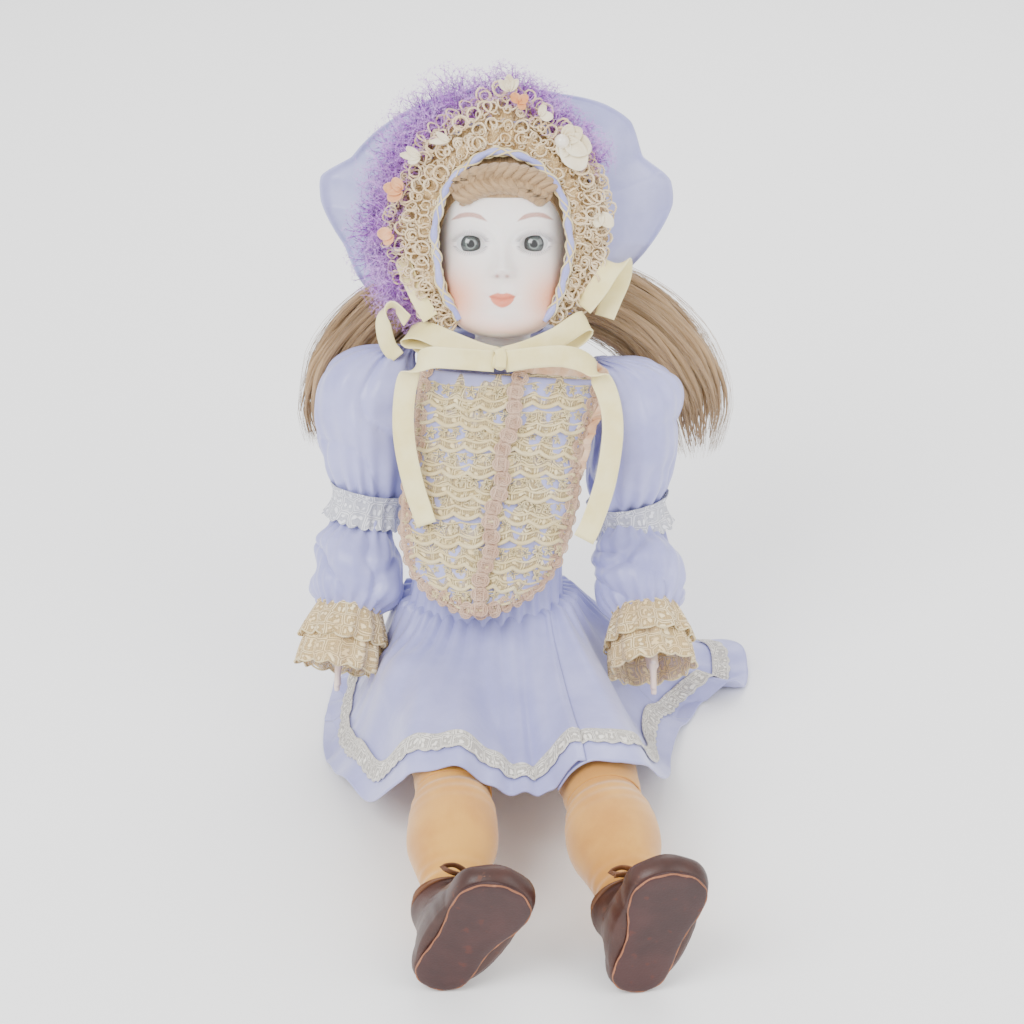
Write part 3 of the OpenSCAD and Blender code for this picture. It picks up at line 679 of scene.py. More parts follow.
def fill_creases(t: Tree, start: bpy.types.Node, end: bpy.types.Node) -> None:
    """Soft handling creases of worn cloth."""
    big = t.node("ShaderNodeTexNoise", {"Vector": start.outputs["Vector"], "Scale": start.outputs["Scale"],
                                        "Detail": 2.0, "Distortion": 1.2})
    distance = t.math("ABSOLUTE", t.math("SUBTRACT", big.outputs[0], 0.5))
    ridge = t.math("SUBTRACT", 1.0, t.math("MULTIPLY", distance, 5.0))
    t.tree.links.new(t.math("MAXIMUM", ridge, 0.0), end.inputs["Height"])


VECTOR_IN = ("Vector", VECTOR, None)
WEAVE = effect("Woven threads", [VECTOR_IN, ("Threads", FLOAT, 2000.0)],
               [("Height", FLOAT), ("Mask", FLOAT)], fill_weave)
MOTTLE = effect("Colour drift", [VECTOR_IN, ("Scale", FLOAT, 30.0), ("Amount", FLOAT, 1.0),
                                 ("Colour A", COLOUR, None), ("Colour B", COLOUR, None)],
                [("Colour", COLOUR), ("Mask", FLOAT)], fill_mottle)
LACE = effect("Floral lace", [VECTOR_IN, ("Flowers", FLOAT, 120.0)],
              [("Cover", FLOAT), ("Height", FLOAT), ("Solid", FLOAT)], fill_lace)
STRANDS = effect("Hair strands", [VECTOR_IN, ("Density", FLOAT, 2500.0), ("Stretch", FLOAT, 40.0)],
                 [("Height", FLOAT), ("Mask", FLOAT)], fill_strands)
CREASES = effect("Cloth creases", [VECTOR_IN, ("Scale", FLOAT, 25.0)], [("Height", FLOAT)], fill_creases)


class Stuff(Tree):
    """One material under construction, with its Principled BSDF and its usual coordinates."""

    def __init__(self, name: str, roughness: float, **sockets: object) -> None:
        """Start a material.

        Args:
            name: name of the material.
            roughness: roughness of the bare surface.
            sockets: values of other shader sockets, underscores for spaces.
        """
        self.material = bpy.data.materials.new(name)
        self.material.use_nodes = True
        super().__init__(self.material.node_tree)
        self.bsdf = self.tree.nodes["Principled BSDF"]
        self.bsdf.inputs["Roughness"].default_value = roughness
        for key, value in sockets.items():
            self.bsdf.inputs[key.replace("_", " ")].default_value = value
        coords = self.node("ShaderNodeTexCoord")
        self.object, self.uv = coords.outputs["Object"], coords.outputs["UV"]

    def tag(self, name: str) -> bpy.types.NodeSocket:
        """Value of a vertex attribute."""
        return self.node("ShaderNodeAttribute", attribute_name=name).outputs["Fac"]

    def group(self, group: bpy.types.NodeTree, **inputs: object) -> bpy.types.Node:
        """Place a shared effect with its own values, underscores for spaces."""
        n = self.node("ShaderNodeGroup")
        n.node_tree = group
        for key, value in inputs.items():
            socket = n.inputs[key.replace("_", " ")]
            if isinstance(value, bpy.types.NodeSocket):
                self.tree.links.new(value, socket)
            elif socket.type == "RGBA":
                socket.default_value = (*value, 1.0)
            else:
                socket.default_value = value
        return n

    def noise(self, vector: bpy.types.NodeSocket, scale: float, detail: float = 3.0) -> bpy.types.NodeSocket:
        """Value of a noise texture."""
        return self.node("ShaderNodeTexNoise", {"Vector": vector, "Scale": scale, "Detail": detail}).outputs[0]

    def colour(self, value: bpy.types.NodeSocket) -> None:
        """Feed the base colour."""
        self.tree.links.new(value, self.bsdf.inputs["Base Color"])

    def roughness(self, value: bpy.types.NodeSocket) -> None:
        """Feed the roughness."""
        self.tree.links.new(value, self.bsdf.inputs["Roughness"])

    def alpha(self, value: bpy.types.NodeSocket) -> None:
        """Feed the alpha."""
        self.tree.links.new(value, self.bsdf.inputs["Alpha"])

    def bump(self, *layers: tuple[bpy.types.NodeSocket, float, float]) -> None:
        """Feed the normal from (height, distance in millimetres, strength) layers."""
        normal = None
        for height, distance, strength in layers:
            n = self.node("ShaderNodeBump", {"Height": height, "Distance": distance * MM, "Strength": strength})
            if normal:
                self.tree.links.new(normal, n.inputs["Normal"])
            normal = n.outputs[0]
        self.tree.links.new(normal, self.bsdf.inputs["Normal"])


# ------------------------------------------------------------------ finishes


@dataclass(frozen=True)
class SatinFinish:
    """Polyester satin: fine weave, a soft sheen, a painted paler sheen at grazing angles, drifting colour and handling
    creases.
    """

    name: str
    light: str
    dark: str
    sheen: float = 0.35
    roughness: float = 0.35
    threads: float = 2600.0

    def make(self) -> bpy.types.Material:
        """Build the material."""
        s = Stuff(self.name, self.roughness, Sheen_Weight=self.sheen, Sheen_Roughness=0.4,
                  Specular_IOR_Level=0.6)
        drift = s.group(MOTTLE, Vector=s.object, Scale=22.0, Amount=0.8, Colour_A=srgb(self.light),
                        Colour_B=srgb(self.dark))
        weave = s.group(WEAVE, Vector=s.uv, Threads=self.threads)
        crease = s.group(CREASES, Vector=s.object, Scale=38.0)
        # Painted sheen: the colour blends towards a paler copy of the satin at grazing angles.
        facing = s.node("ShaderNodeLayerWeight", {"Blend": 0.35}).outputs["Facing"]
        pale = tuple(min(1.0, v * 1.18 + 0.02) for v in srgb(self.light))
        s.colour(s.blend(s.math("MULTIPLY", facing, 0.35), drift.outputs["Colour"], pale))
        s.roughness(s.math("ADD", self.roughness - 0.05, s.math("MULTIPLY", drift.outputs["Mask"], 0.12)))
        s.bump((weave.outputs["Height"], 0.03, 0.5), (crease.outputs["Height"], 0.35, 0.35))
        return s.material


@dataclass(frozen=True)
class LaceFinish:
    """Machine lace in cotton thread, open between its flowers, with a denser edge and painted shade in the open net.
    """

    name: str
    thread: str
    shade: str
    flowers: float
    strip: float = 0.0
    edge: float = 0.0
    fill: float = 0.0

    def make(self) -> bpy.types.Material:
        """Build the material."""
        s = Stuff(self.name, 0.85, Sheen_Weight=0.25, Specular_IOR_Level=0.2)
        lace = s.group(LACE, Vector=s.uv, Flowers=self.flowers)
        drift = s.group(MOTTLE, Vector=s.object, Scale=60.0, Amount=0.9, Colour_A=srgb(self.thread),
                        Colour_B=srgb(self.shade))
        weave = s.group(WEAVE, Vector=s.uv, Threads=2400.0)
        # Painted shade: the open net and gaps between the flowers take a darkened copy of the thread colour; the solid
        # flowers keep the drifting thread colour.
        dark = tuple(v * 0.80 for v in srgb(self.shade))
        s.colour(s.blend(lace.outputs["Solid"], dark, drift.outputs["Colour"]))
        cover = lace.outputs["Cover"]
        if self.strip:
            across = s.node("ShaderNodeSeparateXYZ", {0: s.uv}).outputs[1]
            near = s.math("SUBTRACT", 1.0, s.limits(across, self.edge * MM * 0.7, self.edge * MM))
            far = s.limits(across, (self.strip - self.edge) * MM, (self.strip - self.edge * 0.7) * MM)
            cover = s.math("MAXIMUM", cover, s.math("MAXIMUM", near, far))
        if self.fill:
            cover = s.math("MAXIMUM", cover, self.fill)
        s.alpha(s.limits(cover, 0.30, 0.42) if not self.fill else cover)
        s.bump((lace.outputs["Height"], 0.5, 0.8), (weave.outputs["Height"], 0.05, 0.5))
        return s.material


@dataclass(frozen=True)
class ThreadFinish:
    """Twisted thread or cord: fine ply lines with painted shade in the grooves between plies, and slightly dusty
    colour.
    """

    name: str
    light: str
    dark: str
    ply: float = 900.0
    roughness: float = 0.65
    sheen: float = 0.3

    def make(self) -> bpy.types.Material:
        """Build the material."""
        s = Stuff(self.name, self.roughness, Sheen_Weight=self.sheen, Specular_IOR_Level=0.3)
        parts = s.node("ShaderNodeSeparateXYZ", {0: s.uv})
        line = s.math("ADD", parts.outputs[0], parts.outputs[1])
        wave = s.math("SINE", s.math("MULTIPLY", line, self.ply * 2 * math.pi))
        drift = s.group(MOTTLE, Vector=s.object, Scale=90.0, Amount=1.0, Colour_A=srgb(self.light),
                        Colour_B=srgb(self.dark))
        # Painted shade: the grooves between the plies take a darkened copy of the dark thread colour.
        painted_groove_shade = s.limits(wave, -1.0, 0.2)
        dark = tuple(v * 0.82 for v in srgb(self.dark))
        s.colour(s.blend(painted_groove_shade, dark, drift.outputs["Colour"]))
        s.bump((wave, 0.15, 0.6), (s.noise(s.object, 2500.0), 0.08, 0.4))
        return s.material


@dataclass(frozen=True)
class RibbonFinish:
    """Grosgrain-like ribbon: cross ribs, selvedges with a painted highlight, and faint yellowing."""

    name: str
    light: str
    dark: str
    width: float

    def make(self) -> bpy.types.Material:
        """Build the material."""
        s = Stuff(self.name, 0.5, Sheen_Weight=0.3, Sheen_Roughness=0.45, Specular_IOR_Level=0.35)
        parts = s.node("ShaderNodeSeparateXYZ", {0: s.uv})
        rib = s.math("SINE", s.math("MULTIPLY", parts.outputs[1], 2200.0 * 2 * math.pi))
        off = s.math("ABSOLUTE", s.math("SUBTRACT", parts.outputs[0], self.width * MM / 2))
        edge = s.limits(off, self.width * MM * 0.43, self.width * MM * 0.48)
        drift = s.group(MOTTLE, Vector=s.object, Scale=35.0, Amount=0.9, Colour_A=srgb(self.light),
                        Colour_B=srgb(self.dark))
        # Painted highlight: the raised selvedges blend towards a paler copy of the ribbon colour.
        pale = tuple(min(1.0, v * 1.1) for v in srgb(self.light))
        s.colour(s.blend(s.math("MULTIPLY", edge, 0.6), drift.outputs["Colour"], pale))
        crease = s.group(CREASES, Vector=s.object, Scale=60.0)
        s.bump((rib, 0.03, 0.4), (edge, 0.15, 0.5), (crease.outputs["Height"], 0.25, 0.4))
        return s.material


@dataclass(frozen=True)
class BisqueFinish:
    """Unglazed porcelain, painted: cheeks, lips, brows and the shade at the eyes come from vertex masks."""

    name: str = "Painted bisque"
    skin: str = "#F1ECE8"
    shade: str = "#EADFDA"
    cheek: str = "#F0AA86"
    lip: str = "#DE8266"
    lip_dark: str = "#B96650"
    brow: str = "#A9664F"

    def make(self) -> bpy.types.Material:
        """Build the material."""
        s = Stuff(self.name, 0.5, Subsurface_Weight=0.12, Subsurface_Scale=0.004, Specular_IOR_Level=0.35)
        drift = s.group(MOTTLE, Vector=s.object, Scale=35.0, Amount=0.6, Colour_A=srgb(self.skin),
                        Colour_B=srgb(self.shade))
        stipple = s.math("MULTIPLY", s.tag("blush"),
                         s.math("ADD", 0.85, s.math("MULTIPLY", s.noise(s.object, 900.0), 0.3)))
        face = s.blend(stipple, drift.outputs["Colour"], srgb(self.cheek))
        face = s.blend(s.math("MULTIPLY", s.tag("eye_shade"), 0.5), face, srgb("#C9C2C6"))
        lips = s.blend(s.limits(s.noise(s.object, 500.0), 0.35, 0.7), srgb(self.lip), srgb("#DC8A70"))
        face = s.blend(s.tag("lips"), face, lips)
        face = s.blend(s.tag("lip_line"), face, srgb(self.lip_dark))
        hairs = s.math("ADD", 0.65, s.math("MULTIPLY", s.noise(s.object, 1500.0), 0.6))
        face = s.blend(s.math("MULTIPLY", s.tag("brow"), hairs), face, srgb(self.brow))
        face = s.blend(s.tag("nostril"), face, srgb("#B98E86"))
        s.colour(face)
        s.roughness(s.math("ADD", 0.46, s.math("MULTIPLY", s.noise(s.object, 300.0), 0.14)))
        s.bump((s.noise(s.object, 1800.0, 2.0), 0.03, 0.35))
        return s.material


@dataclass(frozen=True)
class GlassEyeFinish:
    """Paperweight glass eye: pupil, threaded iris and dark rim, under a clear coat."""

    name: str = "Blown glass eye"
    iris_radius: float = 6.4

    def make(self) -> bpy.types.Material:
        """Build the material. The flat coordinate is the distance across the eye, from its middle."""
        s = Stuff(self.name, 0.12, Coat_Weight=1.0, Coat_Roughness=0.03, Specular_IOR_Level=0.6)
        parts = s.node("ShaderNodeSeparateXYZ", {0: s.uv})
        r = s.node("ShaderNodeVectorMath", {0: s.uv}, operation="LENGTH").outputs["Value"]
        share = s.math("DIVIDE", r, self.iris_radius * MM)
        angle = s.math("ARCTAN2", parts.outputs[0], parts.outputs[1])
        spoke = s.node("ShaderNodeCombineXYZ", {0: s.math("MULTIPLY", angle, 9.0), 1: s.math("MULTIPLY", share, 1.2)})
        threads = s.noise(spoke.outputs[0], 2.2, 4.0)
        ring = s.ramp(share, [(0.0, srgb("#0C0F10")), (0.34, srgb("#0A0C0D")), (0.40, srgb("#87928C")),
                              (0.47, srgb("#4E5955")), (0.56, srgb("#2A3331")), (0.70, srgb("#141A1A")),
                              (0.84, srgb("#14191A")), (0.94, srgb("#15191A")), (1.0, srgb("#D9DADB"))])
        light = s.blend(s.limits(threads, 0.35, 0.7), srgb("#1E2624"), srgb("#66706C"))
        within = s.math("MULTIPLY", s.limits(share, 0.28, 0.36), s.math("SUBTRACT", 1.0, s.limits(share, 0.6, 0.9)))
        s.colour(s.blend(s.math("MULTIPLY", within, 0.30), ring, light))
        s.bump((s.noise(s.object, 600.0), 0.02, 0.2))
        return s.material


@dataclass(frozen=True)
class HairFinish:
    """Ash-blonde mohair, streaked along its strands."""

    name: str = "Ash blonde mohair"
    light: str = "#BFA078"
    middle: str = "#A07E56"
    dark: str = "#6E5232"

    def make(self) -> bpy.types.Material:
        """Build the material."""
        s = Stuff(self.name, 0.45, Specular_IOR_Level=0.45, Sheen_Weight=0.25, Anisotropic=0.4)
        strands = s.group(STRANDS, Vector=s.uv, Density=1900.0, Stretch=38.0)
        locks = s.group(STRANDS, Vector=s.uv, Density=380.0, Stretch=20.0)
        base = s.blend(locks.outputs["Mask"], srgb(self.dark), srgb(self.middle))
        tone = s.blend(s.math("MULTIPLY", strands.outputs["Mask"], 0.75), base, srgb(self.light))
        drift = s.noise(s.object, 30.0)
        s.colour(s.blend(s.math("MULTIPLY", drift, 0.25), tone, srgb("#B49871")))
        s.roughness(s.math("ADD", 0.38, s.math("MULTIPLY", strands.outputs["Mask"], 0.2)))
        s.bump((strands.outputs["Height"], 0.22, 0.9), (locks.outputs["Height"], 0.7, 0.7))
        return s.material


@dataclass(frozen=True)
class FeatherFinish:
    """Dyed marabou: strong orchid at the quill, pale at the tips of the barbs."""

    name: str = "Orchid marabou"
    root: str = "#9C42BE"
    tip: str = "#D2A2E6"

    def make(self) -> bpy.types.Material:
        """Build the material. v runs along a barb from 0 to 1."""
        s = Stuff(self.name, 0.8, Sheen_Weight=0.5, Specular_IOR_Level=0.15)
        along = s.node("ShaderNodeSeparateXYZ", {0: s.uv}).outputs[1]
        patch = s.noise(s.object, 45.0, 2.0)
        mask = s.limits(s.math("ADD", along, s.math("MULTIPLY", s.math("SUBTRACT", patch, 0.5), 1.1)), 0.25, 0.95)
        s.colour(s.blend(mask, srgb(self.root), srgb(self.tip)))
        s.bump((s.noise(s.object, 2500.0), 0.05, 0.4))
        return s.material


@dataclass(frozen=True)
class LeatherFinish:
    """Thin glove leather: pebbled grain, scuffs and rubbed patches."""

    name: str
    light: str
    dark: str
    scuff: str
    roughness: float = 0.42
    grain: float = 700.0

    def make(self) -> bpy.types.Material:
        """Build the material."""
        s = Stuff(self.name, self.roughness, Specular_IOR_Level=0.45)
        drift = s.group(MOTTLE, Vector=s.object, Scale=28.0, Amount=0.9, Colour_A=srgb(self.light),
                        Colour_B=srgb(self.dark))
        grain = s.node("ShaderNodeTexVoronoi", {"Vector": s.object, "Scale": self.grain}, feature="DISTANCE_TO_EDGE")
        scratch = s.limits(s.noise(s.object, 160.0, 6.0), 0.62, 0.72)
        s.colour(s.blend(s.math("MULTIPLY", scratch, 0.35), drift.outputs["Colour"], srgb(self.scuff)))
        s.roughness(s.math("ADD", self.roughness, s.math("MULTIPLY", scratch, 0.25)))
        s.bump((s.limits(grain.outputs[0], 0.0, 0.25), 0.05, 0.5), (s.noise(s.object, 120.0), 0.3, 0.3))
        return s.material


@dataclass(frozen=True)
class KnitFinish:
    """Fine stocking knit: ribs of small stitches along the leg, with a painted highlight on the raised loops."""

    name: str = "Mustard stocking knit"
    light: str = "#D69A3E"
    dark: str = "#BE7E2A"

    def make(self) -> bpy.types.Material:
        """Build the material."""
        s = Stuff(self.name, 0.75, Sheen_Weight=0.45, Sheen_Roughness=0.5, Specular_IOR_Level=0.2)
        parts = s.node("ShaderNodeSeparateXYZ", {0: s.uv})
        column = s.math("MULTIPLY", parts.outputs[0], 1500.0)
        half = s.math("ABSOLUTE", s.math("SUBTRACT", s.math("FRACT", column), 0.5))
        row = s.math("ADD", s.math("MULTIPLY", parts.outputs[1], 1900.0), s.math("MULTIPLY", half, 1.2))
        stitch = s.math("SINE", s.math("MULTIPLY", row, 2 * math.pi))
        loop = s.math("ADD", s.math("MULTIPLY", stitch, 0.5), s.math("MULTIPLY", half, -1.4))
        drift = s.group(MOTTLE, Vector=s.object, Scale=26.0, Amount=0.9, Colour_A=srgb(self.light),
                        Colour_B=srgb(self.dark))
        # Painted highlight: the raised tops of the stitch loops blend towards a paler yarn colour.
        tone = s.blend(s.math("MULTIPLY", s.limits(loop, -0.8, 0.5), 0.25), drift.outputs["Colour"], srgb("#E2C184"))
        s.colour(tone)
        s.bump((loop, 0.08, 0.6), (s.noise(s.object, 60.0), 0.5, 0.25))
        return s.material


@dataclass(frozen=True)
class PaintFinish:
    """Painted, pressed or turned hard surface with drifting colour and a fine tooth."""

    name: str
    light: str
    dark: str
    roughness: float = 0.5
    tooth: float = 600.0
    metallic: float = 0.0
    drift: float = 40.0
    coat: float = 0.0

    def make(self) -> bpy.types.Material:
        """Build the material."""
        s = Stuff(self.name, self.roughness, Metallic=self.metallic, Coat_Weight=self.coat, Coat_Roughness=0.15)
        drift = s.group(MOTTLE, Vector=s.object, Scale=self.drift, Amount=1.0, Colour_A=srgb(self.light),
                        Colour_B=srgb(self.dark))
        s.colour(drift.outputs["Colour"])
        s.roughness(s.math("ADD", self.roughness - 0.06, s.math("MULTIPLY", s.noise(s.object, self.tooth), 0.15)))
        s.bump((s.noise(s.object, self.tooth), 0.05, 0.4))
        return s.material


@dataclass(frozen=True)
class OrganzaFinish:
    """Crimped peach organza, slightly see-through, with a satin-stitched edge."""

    name: str = "Peach organza"
    light: str = "#EED0B2"
    dark: str = "#D9A97F"

    def make(self) -> bpy.types.Material:
        """Build the material."""
        s = Stuff(self.name, 0.5, Sheen_Weight=0.4, Specular_IOR_Level=0.3)
        weave = s.group(WEAVE, Vector=s.uv, Threads=1600.0)
        drift = s.group(MOTTLE, Vector=s.object, Scale=70.0, Amount=1.0, Colour_A=srgb(self.light),
                        Colour_B=srgb(self.dark))
        s.colour(drift.outputs["Colour"])
        s.alpha(s.math("ADD", 0.86, s.math("MULTIPLY", weave.outputs["Mask"], 0.14)))
        s.bump((weave.outputs["Height"], 0.04, 0.5))
        return s.material


class Wardrobe:
    """All materials of the doll, built once."""

    def __init__(self) -> None:
        """Build every finish."""
        self.dress = SatinFinish("Periwinkle dress satin", "#A9AADD", "#8C8DC6").make()
        self.bonnet = SatinFinish("Lilac bonnet satin", "#AFB0DC", "#9495C8").make()
        self.rim_cord = SatinFinish("Lilac satin cord", "#A6A7DE", "#8284C6", threads=3200.0).make()
        self.cotton = SatinFinish("White petticoat cotton", "#ECE9E6", "#D8D4D2", 0.2, 0.8, 1500.0).make()
        self.frill_lace = LaceFinish("Ecru frill lace", "#EED4A4", "#D9B47C", 210.0, fill=0.7).make()
        self.bib_lace = LaceFinish("Ecru floral lace", "#F1E2B6", "#E0C890", 105.0, fill=0.45).make()
        self.cuff_lace = LaceFinish("Cream cuff lace", "#FAE8BA", "#EDCD92", 120.0, fill=0.5).make()
        self.hem_lace = LaceFinish("Grey-cream hem lace", "#F6F2EA", "#E2DCD2", 120.0, fill=0.55,
                                   strip=12.0, edge=2.0).make()
        self.band_lace = LaceFinish("White band lace", "#F6F6FA", "#E2E3EE", 105.0, fill=0.75).make()
        self.ecru = ThreadFinish("Ecru crochet thread", "#FAE8C6", "#EDD0A0").make()
        self.cream = ThreadFinish("Cream thread", "#F5E7BC", "#E6D096").make()
        self.gimp = ThreadFinish("Pink-beige gimp", "#E6C8AE", "#CDA68A").make()
        self.ribbon = RibbonFinish("Cream ribbon", "#F5EAB2", "#E8D890", 12.5).make()
        self.bisque = BisqueFinish().make()
        self.eye = GlassEyeFinish().make()
        self.lash = PaintFinish("Grey lash paint", "#7F7B7C", "#656062", 0.6).make()
        self.hair = HairFinish().make()
        self.feather = FeatherFinish().make()
        self.petal = PaintFinish("Cream silk petals", "#F3EAD2", "#E2D3B0", 0.55, 1200.0).make()
        self.peach = PaintFinish("Peach silk petals", "#EDB68A", "#D68F55", 0.55, 1200.0).make()
        self.pearl = PaintFinish("Pearl bead", "#F2EADB", "#E4D6BF", 0.18, 300.0, coat=1.0).make()
        self.organza = OrganzaFinish().make()
        self.knit = KnitFinish().make()
        self.leather = LeatherFinish("Brown shoe leather", "#43231A", "#2E1610", "#7C4E3A").make()
        self.sole = LeatherFinish("Plum-brown sole leather", "#40211F", "#2F1716", "#6E443C", 0.5, 500.0).make()
        self.edge = LeatherFinish("Tan cut edge", "#9C6444", "#7A4A30", "#BE8A68", 0.6).make()
        self.tie = LeatherFinish("Tan lace leather", "#6E4426", "#4E2E18", "#946842").make()
        self.composition = PaintFinish("Painted composition", "#E2BFA6", "#D4AB90", 0.45).make()
        self.hand = PaintFinish("Hand paint", "#F0DDD2", "#E6CBBE", 0.45).make()
        self.plaster = PaintFinish("Setting plaster", "#ECEAE4", "#D9D5CC", 0.85).make()
        self.card = PaintFinish("Pressed card", "#B8946A", "#9C7A52", 0.85).make()
        self.beech = PaintFinish("Turned beech", "#C79F6C", "#AD8452", 0.6, 900.0, drift=120.0).make()
        self.steel = PaintFinish("Steel wire", "#A2A5A8", "#85888C", 0.32, 900.0, 1.0).make()
        self.elastic = ThreadFinish("Covered elastic", "#E9E6DC", "#D0CBBC", 700.0).make()


# ------------------------------------------------------------------ repeats along a path


class PathRepeat:
    """A Geometry Nodes tree that sets turned and scaled copies of a motif along guide lines."""

    def __init__(self) -> None:
        """Build the tree."""
        group = bpy.data.node_groups.new("Repeat along path", "GeometryNodeTree")
        self.group = group
        self.keys: dict[str, str] = {}
        for title, kind in (("Guide", "NodeSocketGeometry"), ("Motif", "NodeSocketObject"),
                            ("Spacing", FLOAT), ("Smallest", FLOAT), ("Largest", FLOAT),
                            ("Swing", VECTOR), ("Seed", "NodeSocketInt"), ("Finish", "NodeSocketMaterial")):
            self.keys[title] = group.interface.new_socket(title, in_out="INPUT", socket_type=kind).identifier
        group.interface.new_socket("Pieces", in_out="OUTPUT", socket_type="NodeSocketGeometry")
        t = Tree(group)
        start = t.node("NodeGroupInput").outputs
        curve = t.node("GeometryNodeMeshToCurve", {0: start["Guide"]})
        even = t.node("GeometryNodeResampleCurve", {"Curve": curve.outputs[0], "Length": start["Spacing"]},
                      mode="LENGTH")
        facing = t.node("GeometryNodeInputNamedAttribute", {"Name": "facing"}, data_type="FLOAT_VECTOR")
        along = t.node("FunctionNodeAlignRotationToVector",
                       {"Vector": t.node("GeometryNodeInputTangent").outputs[0]}, axis="X")
        outward = t.node("FunctionNodeAlignRotationToVector",
                         {"Rotation": along.outputs[0], "Vector": facing.outputs[0]}, axis="Z", pivot_axis="X")
        low = t.node("ShaderNodeVectorMath", {0: start["Swing"], "Scale": -1.0}, operation="SCALE")
        swing = t.node("FunctionNodeRandomValue", {0: low.outputs[0], 1: start["Swing"], "Seed": start["Seed"]},
                       data_type="FLOAT_VECTOR")
        spin = t.node("FunctionNodeEulerToRotation", {0: swing.outputs[0]})
        turned = t.node("FunctionNodeRotateRotation", {0: outward.outputs[0], 1: spin.outputs[0]},
                        rotation_space="LOCAL")
        size = t.node("FunctionNodeRandomValue", {2: start["Smallest"], 3: start["Largest"], "Seed": start["Seed"]},
                      data_type="FLOAT")
        motif = t.node("GeometryNodeObjectInfo", {"Object": start["Motif"]})
        copies = t.node("GeometryNodeInstanceOnPoints",
                        {"Points": even.outputs[0], "Instance": motif.outputs["Geometry"],
                         "Rotation": turned.outputs[0], "Scale": size.outputs[1]})
        real = t.node("GeometryNodeRealizeInstances", {0: copies.outputs[0]})
        finish = t.node("GeometryNodeSetMaterial", {"Geometry": real.outputs[0], "Material": start["Finish"]})
        t.node("NodeGroupOutput", {0: finish.outputs[0]})

    def run(self, name: str, place: Place, lines: Sequence[Array], facings: Sequence[Array], motif: bpy.types.Object,
            spacing: float, finish: bpy.types.Material, sizes: tuple[float, float] = (1.0, 1.0),
            swing: tuple[float, float, float] = (0.0, 0.0, 0.0), seed: int = 1) -> bpy.types.Object:
        """Set copies of a motif along lines and return them as one plain mesh.

        Args:
            name: name of the piece.
            place: frame of the lines.
            lines: guide lines in local millimetres.
            facings: outward direction at each point of each line.
            motif: motif, +X along the line and +Z outwards. It is removed.
            spacing: distance between copies in millimetres.
            finish: material.
            sizes: smallest and largest scale.
            swing: largest random turn about each axis, in degrees.
            seed: seed of the random draw.

        Returns:
            The finished object.
        """
        verts, edges, outs, count = [], [], [], 0
        for line, facing in zip(lines, facings):
            verts += place.world(line).tolist()
            edges += [(count + i, count + i + 1) for i in range(len(line) - 1)]
            outs.append(np.asarray(facing, float) @ place.axes)
            count += len(line)
        mesh = bpy.data.meshes.new(name)
        mesh.from_pydata(verts, edges, [])
        attribute = mesh.attributes.new("facing", "FLOAT_VECTOR", "POINT")
        attribute.data.foreach_set("vector", np.concatenate(outs).astype(np.float32).ravel())
        guide = bpy.data.objects.new(name, mesh)
        bpy.context.scene.collection.objects.link(guide)
        modifier = guide.modifiers.new("Repeat", "NODES")
        modifier.node_group = self.group
        values = {"Motif": motif, "Spacing": spacing * MM, "Smallest": sizes[0], "Largest": sizes[1],
                  "Swing": tuple(math.radians(v) for v in swing), "Seed": seed, "Finish": finish}
        for title, value in values.items():
            modifier[self.keys[title]] = value
        depsgraph = bpy.context.evaluated_depsgraph_get()
        result = bpy.data.meshes.new_from_object(guide.evaluated_get(depsgraph))
        guide.modifiers.clear()
        guide.data = result
        result.name = name
        if "facing" in result.attributes:
            result.attributes.remove(result.attributes["facing"])
        result.shade_smooth()
        bpy.data.meshes.remove(mesh)
        bpy.data.objects.remove(motif)
        return guide


REPEAT = PathRepeat()


def tube_motif(name: str, lines: Sequence[Sequence], radii: Sequence[float], sides: int = 4) -> bpy.types.Object:
    """A motif of thin tubes through control points.

    Args:
        name: name of the motif.
        lines: control points of each tube, in millimetres.
        radii: radius of each tube.
        sides: corners of the section.

    Returns:
        The motif object.
    """
    parts = MeshParts(name, WORLD)
    for line, radius in zip(lines, radii):
        points = np.asarray(line, float)
        parts.add_tube(points, np.full(len(points), radius), sides, (0.1, 0.2, 1.0))
    return parts.build()


def barb_motif(name: str, length: float, curl: float, seed: int) -> bpy.types.Object:
    """A feather barb: a thin curled shaft with barbules on both sides. v runs along it from 0 to 1.

    Args:
        name: name of the motif.
        length: length of the shaft in millimetres.
        curl: how far the tip curls over, in millimetres.
        seed: seed of the random draw.

    Returns:
        The motif object.
    """
    rng = np.random.default_rng(seed)
    t = np.linspace(0, 1, 9)
    shaft = np.stack([curl * t**2.2, 0.35 * curl * np.sin(t * 4), length * np.sin(t * 1.75) / math.sin(1.75)], 1)
    parts = MeshParts(name, WORLD)
    width = 0.26 * (1 - 0.75 * t)
    a, b = shaft + np.outer(width, [1, 0.3, 0]), shaft - np.outer(width, [1, 0.3, 0])
    verts = np.concatenate([a, b])
    quad = np.array([[i, i + 1, i + 10, i + 9] for i in range(8)])
    uv = np.array([[[0, t[i]], [0, t[i + 1]], [1, t[i + 1]], [1, t[i]]] for i in range(8)])
    parts.add(verts, quad, uv)
    for k in range(22):
        i = 1 + k % 8
        base = shaft[i] * 0.7 + shaft[i - 1] * 0.3
        sway = np.array([rng.uniform(-1, 1), rng.uniform(-1, 1), rng.uniform(0.1, 0.9)])
        tip = base + unit(sway) * rng.uniform(1.8, 4.2) * (1.15 - 0.5 * t[i])
        side = unit(np.cross(sway, [0.3, 1, 0.2])) * 0.14
        parts.add(np.array([base - side, base + side, tip]), np.array([[0, 1, 2]]),
                  np.array([[[0, t[i]], [1, t[i]], [0.5, min(1, t[i] + 0.15)]]]))
    return parts.build()


# ------------------------------------------------------------------ studio


